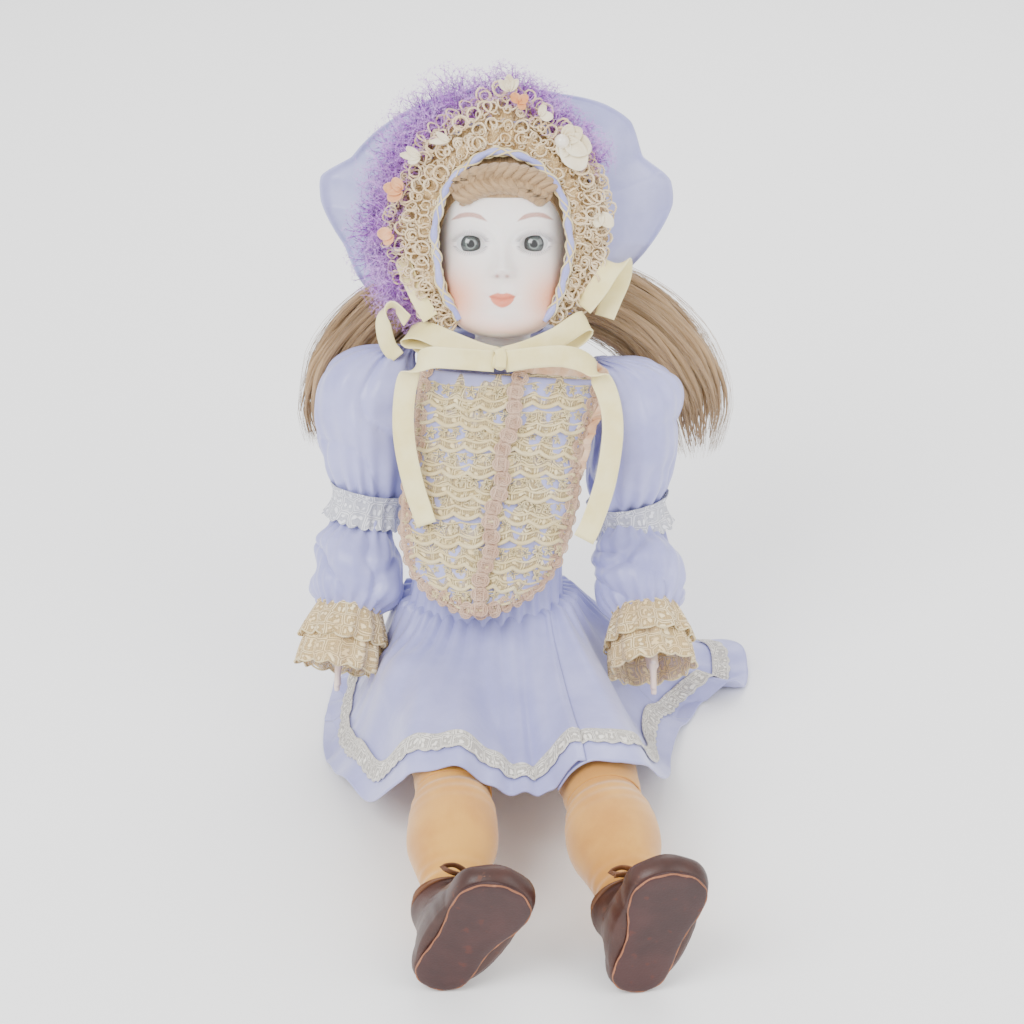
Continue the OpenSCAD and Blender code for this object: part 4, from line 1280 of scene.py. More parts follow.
@dataclass
class Studio:
    """Camera, pale floor and soft lights. Places in metres."""

    target: tuple[float, float, float] = (0.018, -0.060, 0.178)
    distance: float = 1.3
    elevation: float = 27.0
    lens: float = 81.6

    def camera(self) -> None:
        """Place the camera in front of the doll, looking slightly down."""
        data = bpy.data.cameras.new("Camera")
        data.lens, data.sensor_width = self.lens, 36.0
        data.clip_start, data.clip_end = 0.05, 20.0
        camera = bpy.data.objects.new("Camera", data)
        rise = math.radians(self.elevation)
        target = Vector(self.target)
        camera.location = target + Vector((0, -math.cos(rise), math.sin(rise))) * self.distance
        camera.rotation_euler = (target - camera.location).to_track_quat("-Z", "Y").to_euler()
        bpy.context.scene.collection.objects.link(camera)
        bpy.context.scene.camera = camera

    def floor(self) -> None:
        """Lay the pale floor."""
        parts = MeshParts("Studio_floor", WORLD)
        reach = 6000.0
        corners = np.array([[[-reach, -reach, 0], [reach, -reach, 0]], [[-reach, reach, 0], [reach, reach, 0]]], float)
        parts.add_surface(Surface(corners))
        s = Stuff("Pale studio floor", 0.9, Specular_IOR_Level=0.1)
        s.colour(s.group(MOTTLE, Vector=s.object, Scale=1.0, Amount=0.3, Colour_A=(0.97, 0.97, 0.97),
                         Colour_B=(0.96, 0.96, 0.96)).outputs["Colour"])
        parts.build(s.material)

    def light(self, name: str, place: tuple[float, float, float], size: float, power: float) -> None:
        """Hang one square softbox that faces the doll."""
        data = bpy.data.lights.new(name, "AREA")
        data.size, data.energy = size, power
        lamp = bpy.data.objects.new(name, data)
        lamp.location = place
        lamp.rotation_euler = (Vector(self.target) - lamp.location).to_track_quat("-Z", "Y").to_euler()
        bpy.context.scene.collection.objects.link(lamp)

    def build(self) -> None:
        """Set up the studio."""
        self.camera()
        self.floor()
        self.light("Key_softbox", (-1.2, -1.5, 1.9), 1.4, 62.0)
        self.light("Fill_softbox", (1.6, -1.2, 1.3), 1.6, 24.0)
        self.light("Back_softbox", (0.3, 1.6, 1.8), 1.6, 34.0)
        world = bpy.data.worlds.new("Soft_room")
        world.use_nodes = True
        world.node_tree.nodes["Background"].inputs["Color"].default_value = (1.0, 1.0, 1.0, 1.0)
        world.node_tree.nodes["Background"].inputs["Strength"].default_value = 1.35
        bpy.context.scene.world = world


# ------------------------------------------------------------------ head


@dataclass
class Face:
    """The bisque head: three outlines from the neck ball to the crown, and the modelled features."""

    wardrobe: Wardrobe
    place: Place = field(default_factory=head_place)
    eye_x: float = 18.3
    eye_z: float = 59.0
    eye_y: float = -34.6
    eye_r: float = 9.3
    open_half: float = 8.0
    lid_top: float = 5.0
    lid_low: float = 4.5
    mouth_z: float = 28.0
    mouth_half: float = 8.2
    front: tuple = ((7, -15.5), (13, -11), (17, -1), (16.5, 4), (24, 4.6), (36, 4.2), (45, 5.6), (50.5, 9.0),
                    (52.4, 14), (51.6, 20), (51.2, 26), (50.6, 33), (50.2, 40), (49.4, 48), (48.4, 56), (48.2, 64),
                    (48.3, 72), (47.8, 80), (45.6, 89), (41, 98), (34, 106), (24, 113.5), (12, 119.5), (0.004, 121.5))
    side: tuple = ((7, -15.5), (13, -11), (17, -1), (16.5, 4), (18, 6.0), (21, 8.6), (25.5, 11.5), (30, 15.0),
                   (33.6, 19.5), (36.0, 25), (37.6, 31), (38.6, 37), (39.2, 43), (39.6, 50), (39.8, 57), (39.8, 64),
                   (39.5, 71), (38.8, 79), (36.8, 88), (33, 97), (27, 105.5), (19, 113), (9.5, 119), (0.004, 121.5))
    back: tuple = ((7, -15.5), (13, -11), (17, -1), (16.5, 4), (17, 8), (18.4, 12.6), (21.5, 18), (26, 24),
                   (30.6, 30), (34.5, 36), (37.6, 42), (40, 48), (41.8, 54), (43, 60), (43.6, 66), (43.6, 72),
                   (43, 78), (41.4, 85), (38.4, 92), (33.8, 99), (27, 106.5), (19, 113), (9.5, 119), (0.004, 121.5))
    rows: int = 250
    cols: int = 288

    def outlines(self, share: Array) -> list[Array]:
        """Radius and height of the three outlines at shares of their length."""
        found = []
        for outline in (self.front, self.side, self.back):
            line = spline(outline, 400)
            found.append(np.stack([np.interp(share, np.linspace(0, 1, 400), line[:, k]) for k in (0, 1)], 1))
        return found

    def shell(self, share: Array, turn: Array, grow: float = 0.0) -> Array:
        """Points of the bare head.

        Args:
            share: share of the way from the neck to the crown, for each row.
            turn: angle round the head for each column, 0 at the face.
            grow: distance outside the surface.

        Returns:
            Grid of points, share by turn.
        """
        front, side, back = self.outlines(share)
        c, s = np.cos(turn)[None], np.sin(turn)[None]
        faces = np.where(c > 0, 1.0, 0.0)
        reach = faces * front[:, :1] + (1 - faces) * back[:, :1]
        level = faces * front[:, 1:] + (1 - faces) * back[:, 1:]
        power = 2.0 + 0.5 * smooth((level - 4) / 10) * faces
        radius = (np.abs(c / (reach + grow))**power + np.abs(s / (side[:, :1] + grow))**power)**(-1 / power)
        height = level * c**2 + side[:, 1:] * s**2
        return np.stack([radius * s, -radius * c, height + 0 * radius], -1)

    def features(self, x: Array, z: Array) -> tuple[Array, dict[str, Array]]:
        """How far the face stands forward of the bare head, and its painted masks.

        Args:
            x: distance across the face.
            z: height.

        Returns:
            The forward distance, and masks from 0 to 1 by name.
        """
        ax = np.abs(x)
        eye_dx, eye_dz = ax - self.eye_x, z - self.eye_z
        lid = np.where(eye_dz > 0, self.lid_top, self.lid_low)
        d = (np.abs(eye_dx / self.open_half)**2.2 + np.abs(eye_dz / lid)**2)**0.5
        out = -2.4 * bell(eye_dx / 9.5) * bell((z - self.eye_z - 0.5) / 7.5)
        out += 1.1 * bell((d - 1.22) / 0.20) - 5.5 * smooth((1.06 - d) / 0.3)
        out -= 0.35 * bell((d - 1.75) / 0.10) * smooth(eye_dz / 2)
        out += 0.7 * bell((ax - 18) / 12) * bell((z - 73) / 4)
        ridge = np.interp(z, [36, 39.5, 41.5, 44.5, 50, 58, 66, 72], [0, 1.0, 5.6, 9.0, 6.6, 3.8, 1.4, 0])
        width = np.interp(z, [38, 44, 50, 60, 70], [5.2, 4.4, 3.4, 3.4, 5.5])
        out += ridge * bell(x / width)
        out += 1.6 * bell(x / 3.2) * bell((z - 44.2) / 2.6)
        out += 2.0 * bell((ax - 4.9) / 1.9) * bell((z - 42.4) / 2.0)
        out -= 1.4 * bell((ax - 2.7) / 1.0) * bell((z - 40.4) / 0.8)
        out += 1.8 * bell((ax - 23) / 11) * bell((z - 33) / 11)
        out += 2.2 * bell(x / 8.5) * bell((z - 12.5) / 5.5)
        out -= 0.9 * bell(x / 7) * bell((z - 20.0) / 2.0)
        line = self.mouth_z - 0.5 * bell(x / 2.2) + 0.02 * np.square(ax) * 0.6
        top = line + 4.0 * (1 - np.clip(ax / self.mouth_half, 0, 1)**1.5) - 1.0 * bell(x / 1.3)
        low = line - 4.9 * np.sqrt(np.clip(1 - np.square(x / 6.9), 0, 1))
        out += 1.9 * bell((ax - 2.6) / 3.4) * bell((z - line - 1.9) / 1.5)
        out += 2.3 * bell(x / 4.2) * bell((z - line + 2.4) / 1.9)
        out -= 1.0 * bell((z - line) / 0.55) * smooth((8.8 - ax) / 2)
        out -= 0.7 * bell((ax - 8.8) / 1.3) * bell((z - line) / 1.5)
        out -= 0.5 * bell(x / 1.2) * bell((z - 35) / 2.5)
        soft = 0.55
        lips = smooth((top - z) / soft + 0.5) * smooth((z - low) / soft + 0.5) * smooth((self.mouth_half - ax) / 1.0)
        arch = 75.8 - 0.030 * np.square(ax - 19.5) - 0.10 * np.clip(12 - ax, 0, 9)
        thick = 1.25 * smooth((ax - 7.5) / 6) * smooth((31 - ax) / 7) + 0.15
        brow = smooth((thick - np.abs(z - arch)) / 0.6 + 0.5) * smooth((ax - 7.5) / 2.5) * smooth((30.5 - ax) / 2)
        masks = {
            "blush": np.clip(1.0 * bell((ax - 29) / 11.5) * bell((z - 27) / 12)
                             + 0.5 * bell(x / 14) * bell((z - 9) / 5), 0, 1),
            "lips": lips,
            "lip_line": 0.55 * bell((z - line) / 0.42) * smooth((self.mouth_half - ax) / 1.5),
            "brow": 0.75 * brow,
            "eye_shade": np.clip(bell((d - 1.12) / 0.16) + 0.5 * bell((d - 1.5) / 0.3) * (eye_dz > 0), 0, 1),
            "nostril": bell((ax - 2.9) / 0.85) * bell((z - 40.6) / 0.7),
        }
        return out, masks

    def face_tree(self, obj: bpy.types.Object) -> BVHTree:
        """Search tree of the finished head, for strokes painted on it."""
        verts = self.place.local(np.array([v.co for v in obj.data.vertices]))
        return BVHTree.FromPolygons(verts.tolist(), [tuple(p.vertices) for p in obj.data.polygons])

    def head(self) -> bpy.types.Object:
        """Build the bisque head."""
        dense = np.linspace(0, 1, 4000)
        weight = 1 + 1.6 * smooth((dense - 0.22) / 0.1) * smooth((0.80 - dense) / 0.1)
        run = np.cumsum(weight)
        share = np.interp(np.linspace(run[0], run[-1], self.rows), run, dense)
        angle = np.linspace(-math.pi, math.pi, 4000)
        run = np.cumsum(1 + 3.0 * bell(angle / 0.62))
        turn = np.interp(np.linspace(run[0], run[-1], self.cols + 1)[:-1], run, angle)
        grid = self.shell(share, turn)
        x, z = grid[..., 0], grid[..., 2]
        ahead = smooth((-grid[..., 1] - 6) / 14) * smooth((z - 5) / 4) * smooth((100 - z) / 12)
        out, masks = self.features(x, z)
        grid[..., 1] -= out * ahead
        parts = MeshParts("Bisque_head", self.place)
        parts.add_surface(Surface(grid, wrap_u=True), **{k: v * ahead for k, v in masks.items()})
        obj = parts.build(self.wardrobe.bisque)
        return settle(obj, "head", "bisque", "head_shell")

    def eyes(self) -> bpy.types.Object:
        """Build both glass eyes, with flat coordinates that measure from the middle of each iris."""
        parts = MeshParts("Glass_eyes", self.place)
        m, n = 48, 56
        for sign in (-1, 1):
            centre = np.array([sign * self.eye_x, self.eye_y, self.eye_z])
            polar, around = np.meshgrid(np.linspace(0.001, math.pi, m), np.arange(n) * 2 * math.pi / n, indexing="ij")
            swell = 1 + 0.035 * bell(polar / 0.38)
            ball = np.stack([np.sin(polar) * np.cos(around), -np.cos(polar), np.sin(polar) * np.sin(around)], -1)
            points = centre + self.eye_r * swell[..., None] * ball
            spread = self.eye_r * np.minimum(polar, 1.6)
            flat = np.stack([spread * np.cos(around), spread * np.sin(around)], -1) * MM
            ids = np.arange(m * n).reshape(m, n)
            right = np.roll(ids, -1, 1)
            quad = np.stack([ids[:-1], ids[1:], right[1:], right[:-1]], -1).reshape(-1, 4)
            uv = flat.reshape(-1, 2)[quad]
            parts.add(points.reshape(-1, 3), quad, uv)
        return settle(parts.build(self.wardrobe.eye), "head", "eye_glass", "glass_eyes")

    def lashes(self, tree: BVHTree) -> bpy.types.Object:
        """Paint the lashes as fine raised strokes round each eye."""
        parts = MeshParts("Painted_lashes", self.place)
        rng = np.random.default_rng(11)
        for sign in (-1, 1):
            for upper, count, reach in ((True, 26, 3.2), (False, 20, 2.4)):
                lid = self.lid_top if upper else self.lid_low
                for k in range(count):
                    a = math.radians(16 + 148 * k / (count - 1)) * (1 if upper else -1)
                    lean = a + 0.25 * math.cos(a) * (-1 if upper else 1) + rng.uniform(-0.05, 0.05)
                    size = reach * rng.uniform(0.75, 1.1)
                    line = []
                    for t in np.linspace(0, 1, 5):
                        x = sign * self.eye_x + (self.open_half * 1.05 + 0.2) * math.cos(a) + t * size * math.cos(lean)
                        z = self.eye_z + lid * 1.12 * math.sin(a) + t * size * math.sin(lean)
                        hit = tree.ray_cast(Vector((x, -90, z)), Vector((0, 1, 0)))[0]
                        if hit:
                            line.append((x, hit.y - 0.05, z))
                    if len(line) == 5:
                        parts.add_tube(np.array(line), np.array([0.13, 0.16, 0.13, 0.09, 0.03]), 4)
        return settle(parts.build(self.wardrobe.lash), "head", "bisque")

    def build(self) -> None:
        """Build the whole face."""
        head = self.head()
        self.eyes()
        self.lashes(self.face_tree(head))


@dataclass
class Wig:
    """Mohair wig: the cap over the scalp, a plait over the forehead and a bunch on each side."""

    wardrobe: Wardrobe
    face: Face
    place: Place = field(default_factory=head_place)
    braid_turns: float = 4.3
    strand: float = 4.0

    def cap(self) -> bpy.types.Object:
        """Build the combed hair on the scalp."""
        parts = MeshParts("Wig_cap", self.place)
        turn = np.linspace(-math.pi, math.pi, 181)[:-1]
        rise = np.linspace(0, 1, 60)
        start = 0.685 - 0.40 * smooth((np.abs(turn) - 0.5) / 1.3)
        grid = np.zeros((60, 180, 3))
        for j in range(180):
            share = start[j] + (0.999 - start[j]) * rise
            grid[:, j] = self.face.shell(share, turn[j:j + 1], 0.6)[:, 0]
            grid[:, j] += unit(grid[:, j] - np.array([0, 0, 60])) * (2.6 * smooth(rise / 0.15))[:, None]
        grid += grid_normals(grid, True, False) * (0.5 * wander((60, 180), (3, 60), 5, True))[..., None]
        parts.add_surface(Surface(grid, wrap_u=True), 1.0)
        return settle(parts.build(self.wardrobe.hair), "head", "hair", "wig_cap")

    def braid(self) -> bpy.types.Object:
        """Plait three strands over the forehead."""
        t = np.linspace(-1, 1, 150)
        a = np.radians(54 * t)
        line = np.stack([33.6 * np.sin(a), -46.5 + 15 * (1 - np.cos(a)), 66.5 + 30.0 * np.cos(a * 0.9)], 1)
        along = tangents(line)
        out = unit(line * [1, 1, 0] + np.array([0, -20, 0]))
        up = np.cross(along, out)
        parts = MeshParts("Forehead_braid", self.place)
        for k in range(3):
            phase = self.braid_turns * math.pi * t + k * 2 * math.pi / 3
            centre = line + up * (6.6 * np.sin(phase))[:, None] + out * (2.7 * np.sin(2 * phase))[:, None]
            taper = smooth((1.02 - np.abs(t)) / 0.12) * 0.8 + 0.2
            size = np.stack([self.strand * taper, 2.8 * taper], 1)
            parts.add_tube(centre, size, 14, (0, 0, 1), twist=0.02)
        rng = np.random.default_rng(3)
        for _ in range(70):
            i = rng.integers(8, 130)
            base = line[i] + up[i] * rng.uniform(-6, 7) + out[i] * 4.2
            bend = along[i] * rng.uniform(-7, 7) + up[i] * rng.uniform(-2, 5) + out[i] * rng.uniform(0.4, 1.6)
            path = spline([base, base + bend * 0.5 + up[i], base + bend], 7)
            parts.add_tube(path, np.linspace(0.10, 0.03, 7), 3)
        return settle(parts.build(self.wardrobe.hair), "head", "hair", "forehead_braid")

    def bunch(self, side: Side, path: Sequence, seed: int) -> bpy.types.Object:
        """Hang one bunch of wavy locks, from behind the jaw over the shoulder.

        Args:
            side: the doll's side.
            path: middle of the bunch, in millimetres of the shared frame.
            seed: seed of the random draw.

        Returns:
            The piece, fixed in the shared frame.
        """
        rng = np.random.default_rng(seed)
        middle = spline(path, 44)
        t = np.linspace(0, 1, 44)
        along = tangents(middle)
        across = unit(np.cross(along, [0, 1, 0]))
        depth = np.cross(across, along)
        spread = np.interp(t, [0, 0.25, 0.6, 0.85, 1.0], [17, 21, 22, 18, 11])
        parts = MeshParts(f"Hair_bunch_{side.value}", WORLD)
        for k in range(96):
            angle, reach = rng.uniform(0, 2 * math.pi), math.sqrt(rng.uniform(0.02, 1))
            wave = rng.uniform(1.0, 3.2) * np.sin(t * rng.uniform(7, 12) + rng.uniform(0, 6)) * (0.3 + t)
            u = spread * reach * math.cos(angle) + wave
            v = 0.62 * spread * reach * math.sin(angle) + wave * 0.6
            stop = rng.uniform(0.82, 1.0)
            keep = t <= stop
            line = (middle + across * u[:, None] + depth * v[:, None])[keep]
            line[:, 2] = np.maximum(line[:, 2], 8)
            part = t[keep] / stop
            size = (rng.uniform(1.6, 3.1) * (0.35 + 0.65 * smooth(part / 0.15))
                    * (0.12 + 0.88 * smooth((1 - part) / 0.4)))
            parts.add_tube(line, np.stack([size, size * 0.55], 1), 8, (0, 1, 0), twist=rng.uniform(-0.03, 0.03))
        for k in range(240):
            angle, reach = rng.uniform(0, 2 * math.pi), rng.uniform(0.9, 1.28)
            wave = rng.uniform(0.8, 2.6) * np.sin(t * rng.uniform(4, 10) + rng.uniform(0, 6)) * (0.2 + t)
            u = spread * reach * math.cos(angle) + wave
            v = 0.62 * spread * reach * math.sin(angle) + wave
            first = rng.integers(0, 12)
            line = (middle + across * u[:, None] + depth * v[:, None])[first::3]
            line[:, 2] = np.maximum(line[:, 2], 5)
            parts.add_tube(line, np.linspace(0.16, 0.05, len(line)), 3)
        obj = parts.build(self.wardrobe.hair)
        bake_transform(obj)
        return dress(obj, "hair", f"hair_{side.value}")

    def build(self) -> None:
        """Build the whole wig."""
        self.cap()
        self.braid()
        self.bunch(Side.RIGHT, [(-32, 98, 246), (-56, 98, 232), (-78, 96, 208), (-91, 94, 178), (-96, 92, 148)], 21)
        self.bunch(Side.LEFT, [(38, 80, 252), (68, 88, 247), (102, 92, 224), (128, 93, 184), (134, 92, 142)], 22)


# ------------------------------------------------------------------ bonnet and ribbons


@dataclass
class Bonnet:
    """Satin bonnet: gathered crown, folded brim, layered lace frill, twisted cord and trims."""

    wardrobe: Wardrobe
    place: Place = field(default_factory=head_place)
    centre_z: float = 62.0
    opening_rx: float = 38.5
    opening_rz: float = 49.0
    opening_low: float = 60.0
    span: float = 139.0
    brim_outline: tuple = ((-128, 70), (-119, 84), (-106, 90), (-93, 96), (-78, 112), (-71, 116), (-62, 103),
                           (-48, 99), (-30, 94), (0, 90), (22, 93), (38, 101), (48, 104), (60, 98), (71, 107),
                           (79, 105), (92, 90), (107, 76), (122, 66))
    frill_depths: tuple = ((-133, 9), (-115, 20), (-90, 27), (-60, 27), (-25, 29), (2, 36), (25, 27), (60, 26),
                           (90, 23), (115, 16), (133, 8))

    def arch(self, degrees: Array, grow: Array, y: Array) -> Array:
        """Points of an arch round the face, outside the opening by some distance."""
        a = np.radians(degrees)
        rz = np.where(np.cos(a) > 0, self.opening_rz, self.opening_low)
        return np.stack(np.broadcast_arrays((self.opening_rx + grow) * np.sin(a), y,
                                            self.centre_z + (rz + grow) * np.cos(a)), -1)

    def crown(self) -> None:
        """Build the gathered satin bag at the back of the head."""
        stations = spline([(-18, 55.5, 64), (-8, 57, 68), (12, 58, 69), (32, 57, 67), (48, 50, 59), (60, 38, 44),
                           (67, 20, 23), (69.5, 8, 9), (69.8, 1.5, 2), (69.8, 0.004, 0.004)], 74)
        a = np.arange(220) * 2 * math.pi / 220
        y, rx, rz = (stations[:, k:k + 1] for k in range(3))
        share = np.linspace(0, 1, 74)[:, None]
        pleats = np.sin(30 * a + 1.3 * np.sin(3 * a)) * (1.1 * bell((share - 0.02) / 0.07)
                                                         + 1.7 * smooth((share - 0.45) / 0.4))
        pleats = (pleats * smooth((1 - share) / 0.12)
                  + 2.2 * wander((74, 220), (5, 9), 8, True) * bell((share - 0.45) / 0.25))
        lean = 0.22 * smooth((0.35 - share) / 0.35)
        x = (rx + pleats) * np.sin(a)
        z = self.centre_z + 4 + (rz + pleats) * np.cos(a)
        depth = y + lean * (self.centre_z - z) * 0.9 + 0 * a
        low = smooth((z - 4) / 14)
        parts = MeshParts("Bonnet_crown", self.place)
        parts.add_surface(Surface(np.stack([x, depth * low + (1 - low) * np.maximum(depth, 22), z], -1), wrap_u=True),
                          0.8, flip=True)
        obj = settle(parts.build(self.wardrobe.bonnet), "head", "bonnet_satin", "bonnet_crown")
        lay(obj, parts, 0.12, "gathered", "wig_cap")

    def brim(self) -> None:
        """Build the flared brim, with its folds and a rolled edge."""
        rows, cols = 46, 240
        angle = np.linspace(-121, 116, cols)
        outline = spline([(a, r) for a, r in self.brim_outline], 300)
        corners = np.array(self.brim_outline, float)
        reach = 0.35 * np.interp(angle, outline[:, 0], outline[:, 1]) + 0.65 * np.interp(angle, *corners.T)
        share = np.linspace(0, 1, rows)[:, None]
        a = np.radians(angle)[None]
        inner = np.hypot(57 * np.sin(a), 70 * np.cos(a))
        radius = inner + (reach - inner) * share
        fold = np.interp(angle, [-121, -104, -92, -80, -70, -58, -45, 0, 45, 58, 68, 80, 92, 104, 116],
                         [6, -5, 5, -6, 2, -5, 3, 0, -3, 5, -6, 3, -5, 5, -3])[None]
        y = -4 + 27 * share**1.1 + fold * share * 1.2 + 1.5 * wander((rows, cols), (4, 12), 12) * share
        y = y - 3.5 * bell((share - 1.0) / 0.05)
        points = np.stack([radius * np.sin(a), y, self.centre_z + radius * np.cos(a)], -1)
        surface = Surface(points)
        parts = MeshParts("Bonnet_brim", self.place)
        parts.add_surface(surface, 1.6)
        obj = settle(parts.build(self.wardrobe.bonnet), "head", "bonnet_satin", "bonnet_brim")

    def frill(self) -> None:
        """Build three layers of ruffled lace and the crocheted loops on them."""
        cols = 620
        angle = np.linspace(-self.span, self.span, cols)
        depth = np.interp(angle, *np.array(self.frill_depths, float).T)
        parts = MeshParts("Bonnet_frill", self.place)
        layers = ((0.35, 1.00, -31, -19, 60, 2.6, 31), (0.12, 0.72, -36, -29, 74, 2.3, 32),
                  (0.02, 0.42, -40, -38, 90, 1.6, 33))
        for start, stop, y0, y1, waves, height, seed in layers:
            rows = 16
            share = np.linspace(0, 1, rows)[:, None]
            drift = 1.5 * wander((1, cols), (1, 40), seed)
            wave = np.sin(np.radians(angle) * waves / 2 + drift * 2.2) * height * (0.25 + 0.75 * share)
            grow = depth[None] * (start + (stop - start) * share) + 0.8 * np.cos(np.radians(angle) * waves) * share
            y = y0 + (y1 - y0) * share + wave + 1.2 * wander((rows, cols), (3, 70), seed + 5)
            parts.add_surface(Surface(self.arch(angle[None], grow, y)), 0.7)
        obj = parts.build(self.wardrobe.frill_lace)
        settle(obj, "head", "ecru_lace", "bonnet_frill")
        lay(obj, parts, 0.03, "gathered", "bonnet_brim")
        t = np.linspace(0, 2 * math.pi, 11)
        loop = np.stack([3.4 * np.sin(t), 3.6 - 3.8 * np.cos(t), 1.2 + 0.9 * np.sin(2 * t)], 1)
        curl = np.stack([2.9 * np.cos(1.6 * t) * (1 - t / 9), 2.9 * np.sin(1.6 * t) * (1 - t / 9), 0.3 * t], 1)
        facing_out = np.array([0.0, -1.0, 0.0])
        for index, (motif, spacing, seed) in enumerate(((loop, 4.6, 41), (curl, 7.5, 42))):
            lines, facings = [], []
            for share, y in ((0.16, -40), (0.42, -38.5), (0.68, -34.5), (0.93, -27)):
                bend = 2.2 * wander((1, 90), (1, 22), seed + int(share * 100))[0]
                a = np.linspace(-self.span + 3, self.span - 3, 90)
                line = self.arch(a, np.interp(a, angle, depth) * share + bend, y + 1.0)
                lines.append(line)
                facings.append(np.tile(facing_out, (90, 1)) + 0.5 * unit(line - [0, 0, self.centre_z]) * [1, 0, 1])
            shape = tube_motif(f"Crochet_loop_{index}", [motif], [0.62])
            obj = REPEAT.run(f"Frill_loops_{index}", self.place, lines, facings, shape, spacing, self.wardrobe.ecru,
                             (0.7, 1.25), (26, 30, 40), seed)
            settle(obj, "head", "ecru_lace")

    def cord(self) -> None:
        """Build the padded satin cord round the face and the two cream threads wound on it."""
        count = 420
        angle = np.linspace(-self.span - 2, self.span + 2, count)
        line = self.arch(angle, 0.6, -43.0)
        run = lengths(line)
        puff = 0.72 + 0.28 * np.abs(np.cos(math.pi * run / 13))
        line = line + np.stack([0.6 * np.sin(run / 5), 0 * run, 0.6 * np.cos(run / 6)], 1)
        parts = MeshParts("Face_cord", self.place)
        parts.add_tube(line, 2.2 * puff, 12)
        settle(parts.build(self.wardrobe.rim_cord), "head", "satin_cord", "bonnet_cord")
        along = tangents(line)
        side = unit(np.cross(along, [0, 1, 0]))
        threads = MeshParts("Cord_threads", self.place)
        for phase, hand, radius in ((0.0, 1, 0.62), (math.pi, -1, 0.55), (1.6, 1, 0.42)):
            turn = hand * 2 * math.pi * run / 26 + phase
            away = (2.2 * puff + radius * 0.6)[:, None]
            wound = line + away * (side * np.cos(turn)[:, None] + np.cross(side, along) * np.sin(turn)[:, None])
            threads.add_tube(wound, radius, 6)
        edge = self.arch(angle, 1.9 + 0.8 * np.sin(run / 1.6), -42.2 + 0.5 * np.sin(run * 1.1))
        threads.add_tube(edge, 0.65, 5)
        inner = self.arch(angle, -1.3 + 0.5 * np.sin(run / 1.3), -41.5)
        threads.add_tube(inner, 0.7, 5)
        settle(threads.build(self.wardrobe.cream), "head", "satin_cord")

    def feather(self) -> None:
        """Lay curled marabou behind the frill, from the doll's right cheek over the top."""
        angle = np.linspace(-120, 56, 110)
        depth = np.interp(angle, *np.array(self.frill_depths, float).T)
        sorts = ((((0.70, -20), (0.86, -15), (1.0, -9), (1.08, -3)), 14.5, 8.0),
                 (((0.78, -18), (0.93, -12), (1.04, -5)), 15.5, -9.0),
                 (((1.02, -15), (1.16, -9), (1.3, -5), (1.42, 0)), 16.0, 10.0))
        for index, (rows, length, curl) in enumerate(sorts):
            lines, facings = [], []
            for share, y in rows:
                near = angle if index < 2 else np.linspace(-122, -16, 110)
                line = self.arch(near, np.interp(near, angle, depth) * share + 1.5 * np.sin(near / 9), y)
                lines.append(line)
                out = unit((line - [0, 0, self.centre_z]) * [1, 0, 1])
                facings.append(out + np.array([0.0, -0.75, 0.12]))
            obj = REPEAT.run(f"Feather_barbs_{index}", self.place, lines, facings,
                             barb_motif(f"Barb_{index}", length, curl, 50 + index), 0.72, self.wardrobe.feather,
                             (0.65, 1.2), (34, 40, 180), 60 + index)
            settle(obj, "head", "feather", *(["feather_trim"] if index == 0 else []))

    def petal(self, parts: MeshParts, root: Array, out: Array, face: Array, length: float, width: float,
              cup: float) -> None:
        """Add one cupped petal.

        Args:
            parts: the mesh it joins.
            root: where it starts.
            out: direction from root to tip.
            face: direction that it faces.
            length: its length.
            width: its width.
            cup: how far its tip bends towards the viewer.
        """
        out, side = unit(out), unit(np.cross(out, face))
        face = np.cross(side, out)
        v = np.linspace(0, 1, 9)[:, None]
        u = np.linspace(-1, 1, 9)[None]
        half = width / 2 * np.sin(math.pi * np.clip(0.08 + 0.86 * v, 0, 1)) ** 0.7
        lift = cup * (v**2 - 0.5 * v) + 0.25 * width * u**2 * (1 - 0.5 * v)
        grid = root + out * (length * v)[..., None] + side * (half * u)[..., None] + face * lift[..., None]
        parts.add_surface(Surface(grid), 0.35, flip=True)

    def flowers(self) -> None:
        """Build the silk petals, the ribbon leaves and the pearl."""
        face = np.array([0.0, -1.0, 0.1])
        cream, peach = MeshParts("Cream_petals", self.place), MeshParts("Peach_petals", self.place)
        sprays = (
            (cream, 37, 22, -34, ((115, 17, 14, 3), (150, 21, 16, 3), (60, 12, 10, 4),
                                  (190, 11, 9, 3), (20, 10, 8, 4))),
            (cream, 78, 20, -31, ((140, 11, 8, 3), (200, 9, 7, 3))),
            (peach, -68, 25, -33, ((-80, 11, 8, 4), (-130, 10, 8, 4), (-30, 9, 7, 3))),
            (peach, -88, 26, -31, ((-90, 9, 8, 4), (-150, 8, 6, 3))),
            (cream, -50, 24, -34, ((-85, 12, 5, 3), (-55, 10, 5, 3), (-120, 8, 5, 3))),
            (cream, -33, 18, -36, ((-95, 12, 4, 2), (-60, 9, 4, 3))),
            (peach, 8, 30, -33, ((60, 7, 6, 3), (-40, 7, 6, 3), (140, 6, 5, 3))),
            (cream, 3, 36, -29, ((0, 10, 6, 3), (40, 9, 5, 3), (-45, 9, 5, 3), (-15, 8, 4, 4))),
            (cream, 20, 26, -35, ((100, 8, 6, 3), (20, 7, 5, 3))),
        )
        for parts, at, grow, y, petals in sprays:
            root = self.arch(np.array(float(at)), np.array(float(grow)), np.array(float(y - 3)))
            for turn, length, width, cup in petals:
                a = math.radians(turn)
                self.petal(parts, root, np.array([math.sin(a), -0.25, math.cos(a)]), face, length, width, cup)
        settle(cream.build(self.wardrobe.petal), "head", "silk_flower", "bonnet_flowers")
        settle(peach.build(self.wardrobe.peach), "head", "silk_flower")
        pearl = MeshParts("Pearl_bead", self.place)
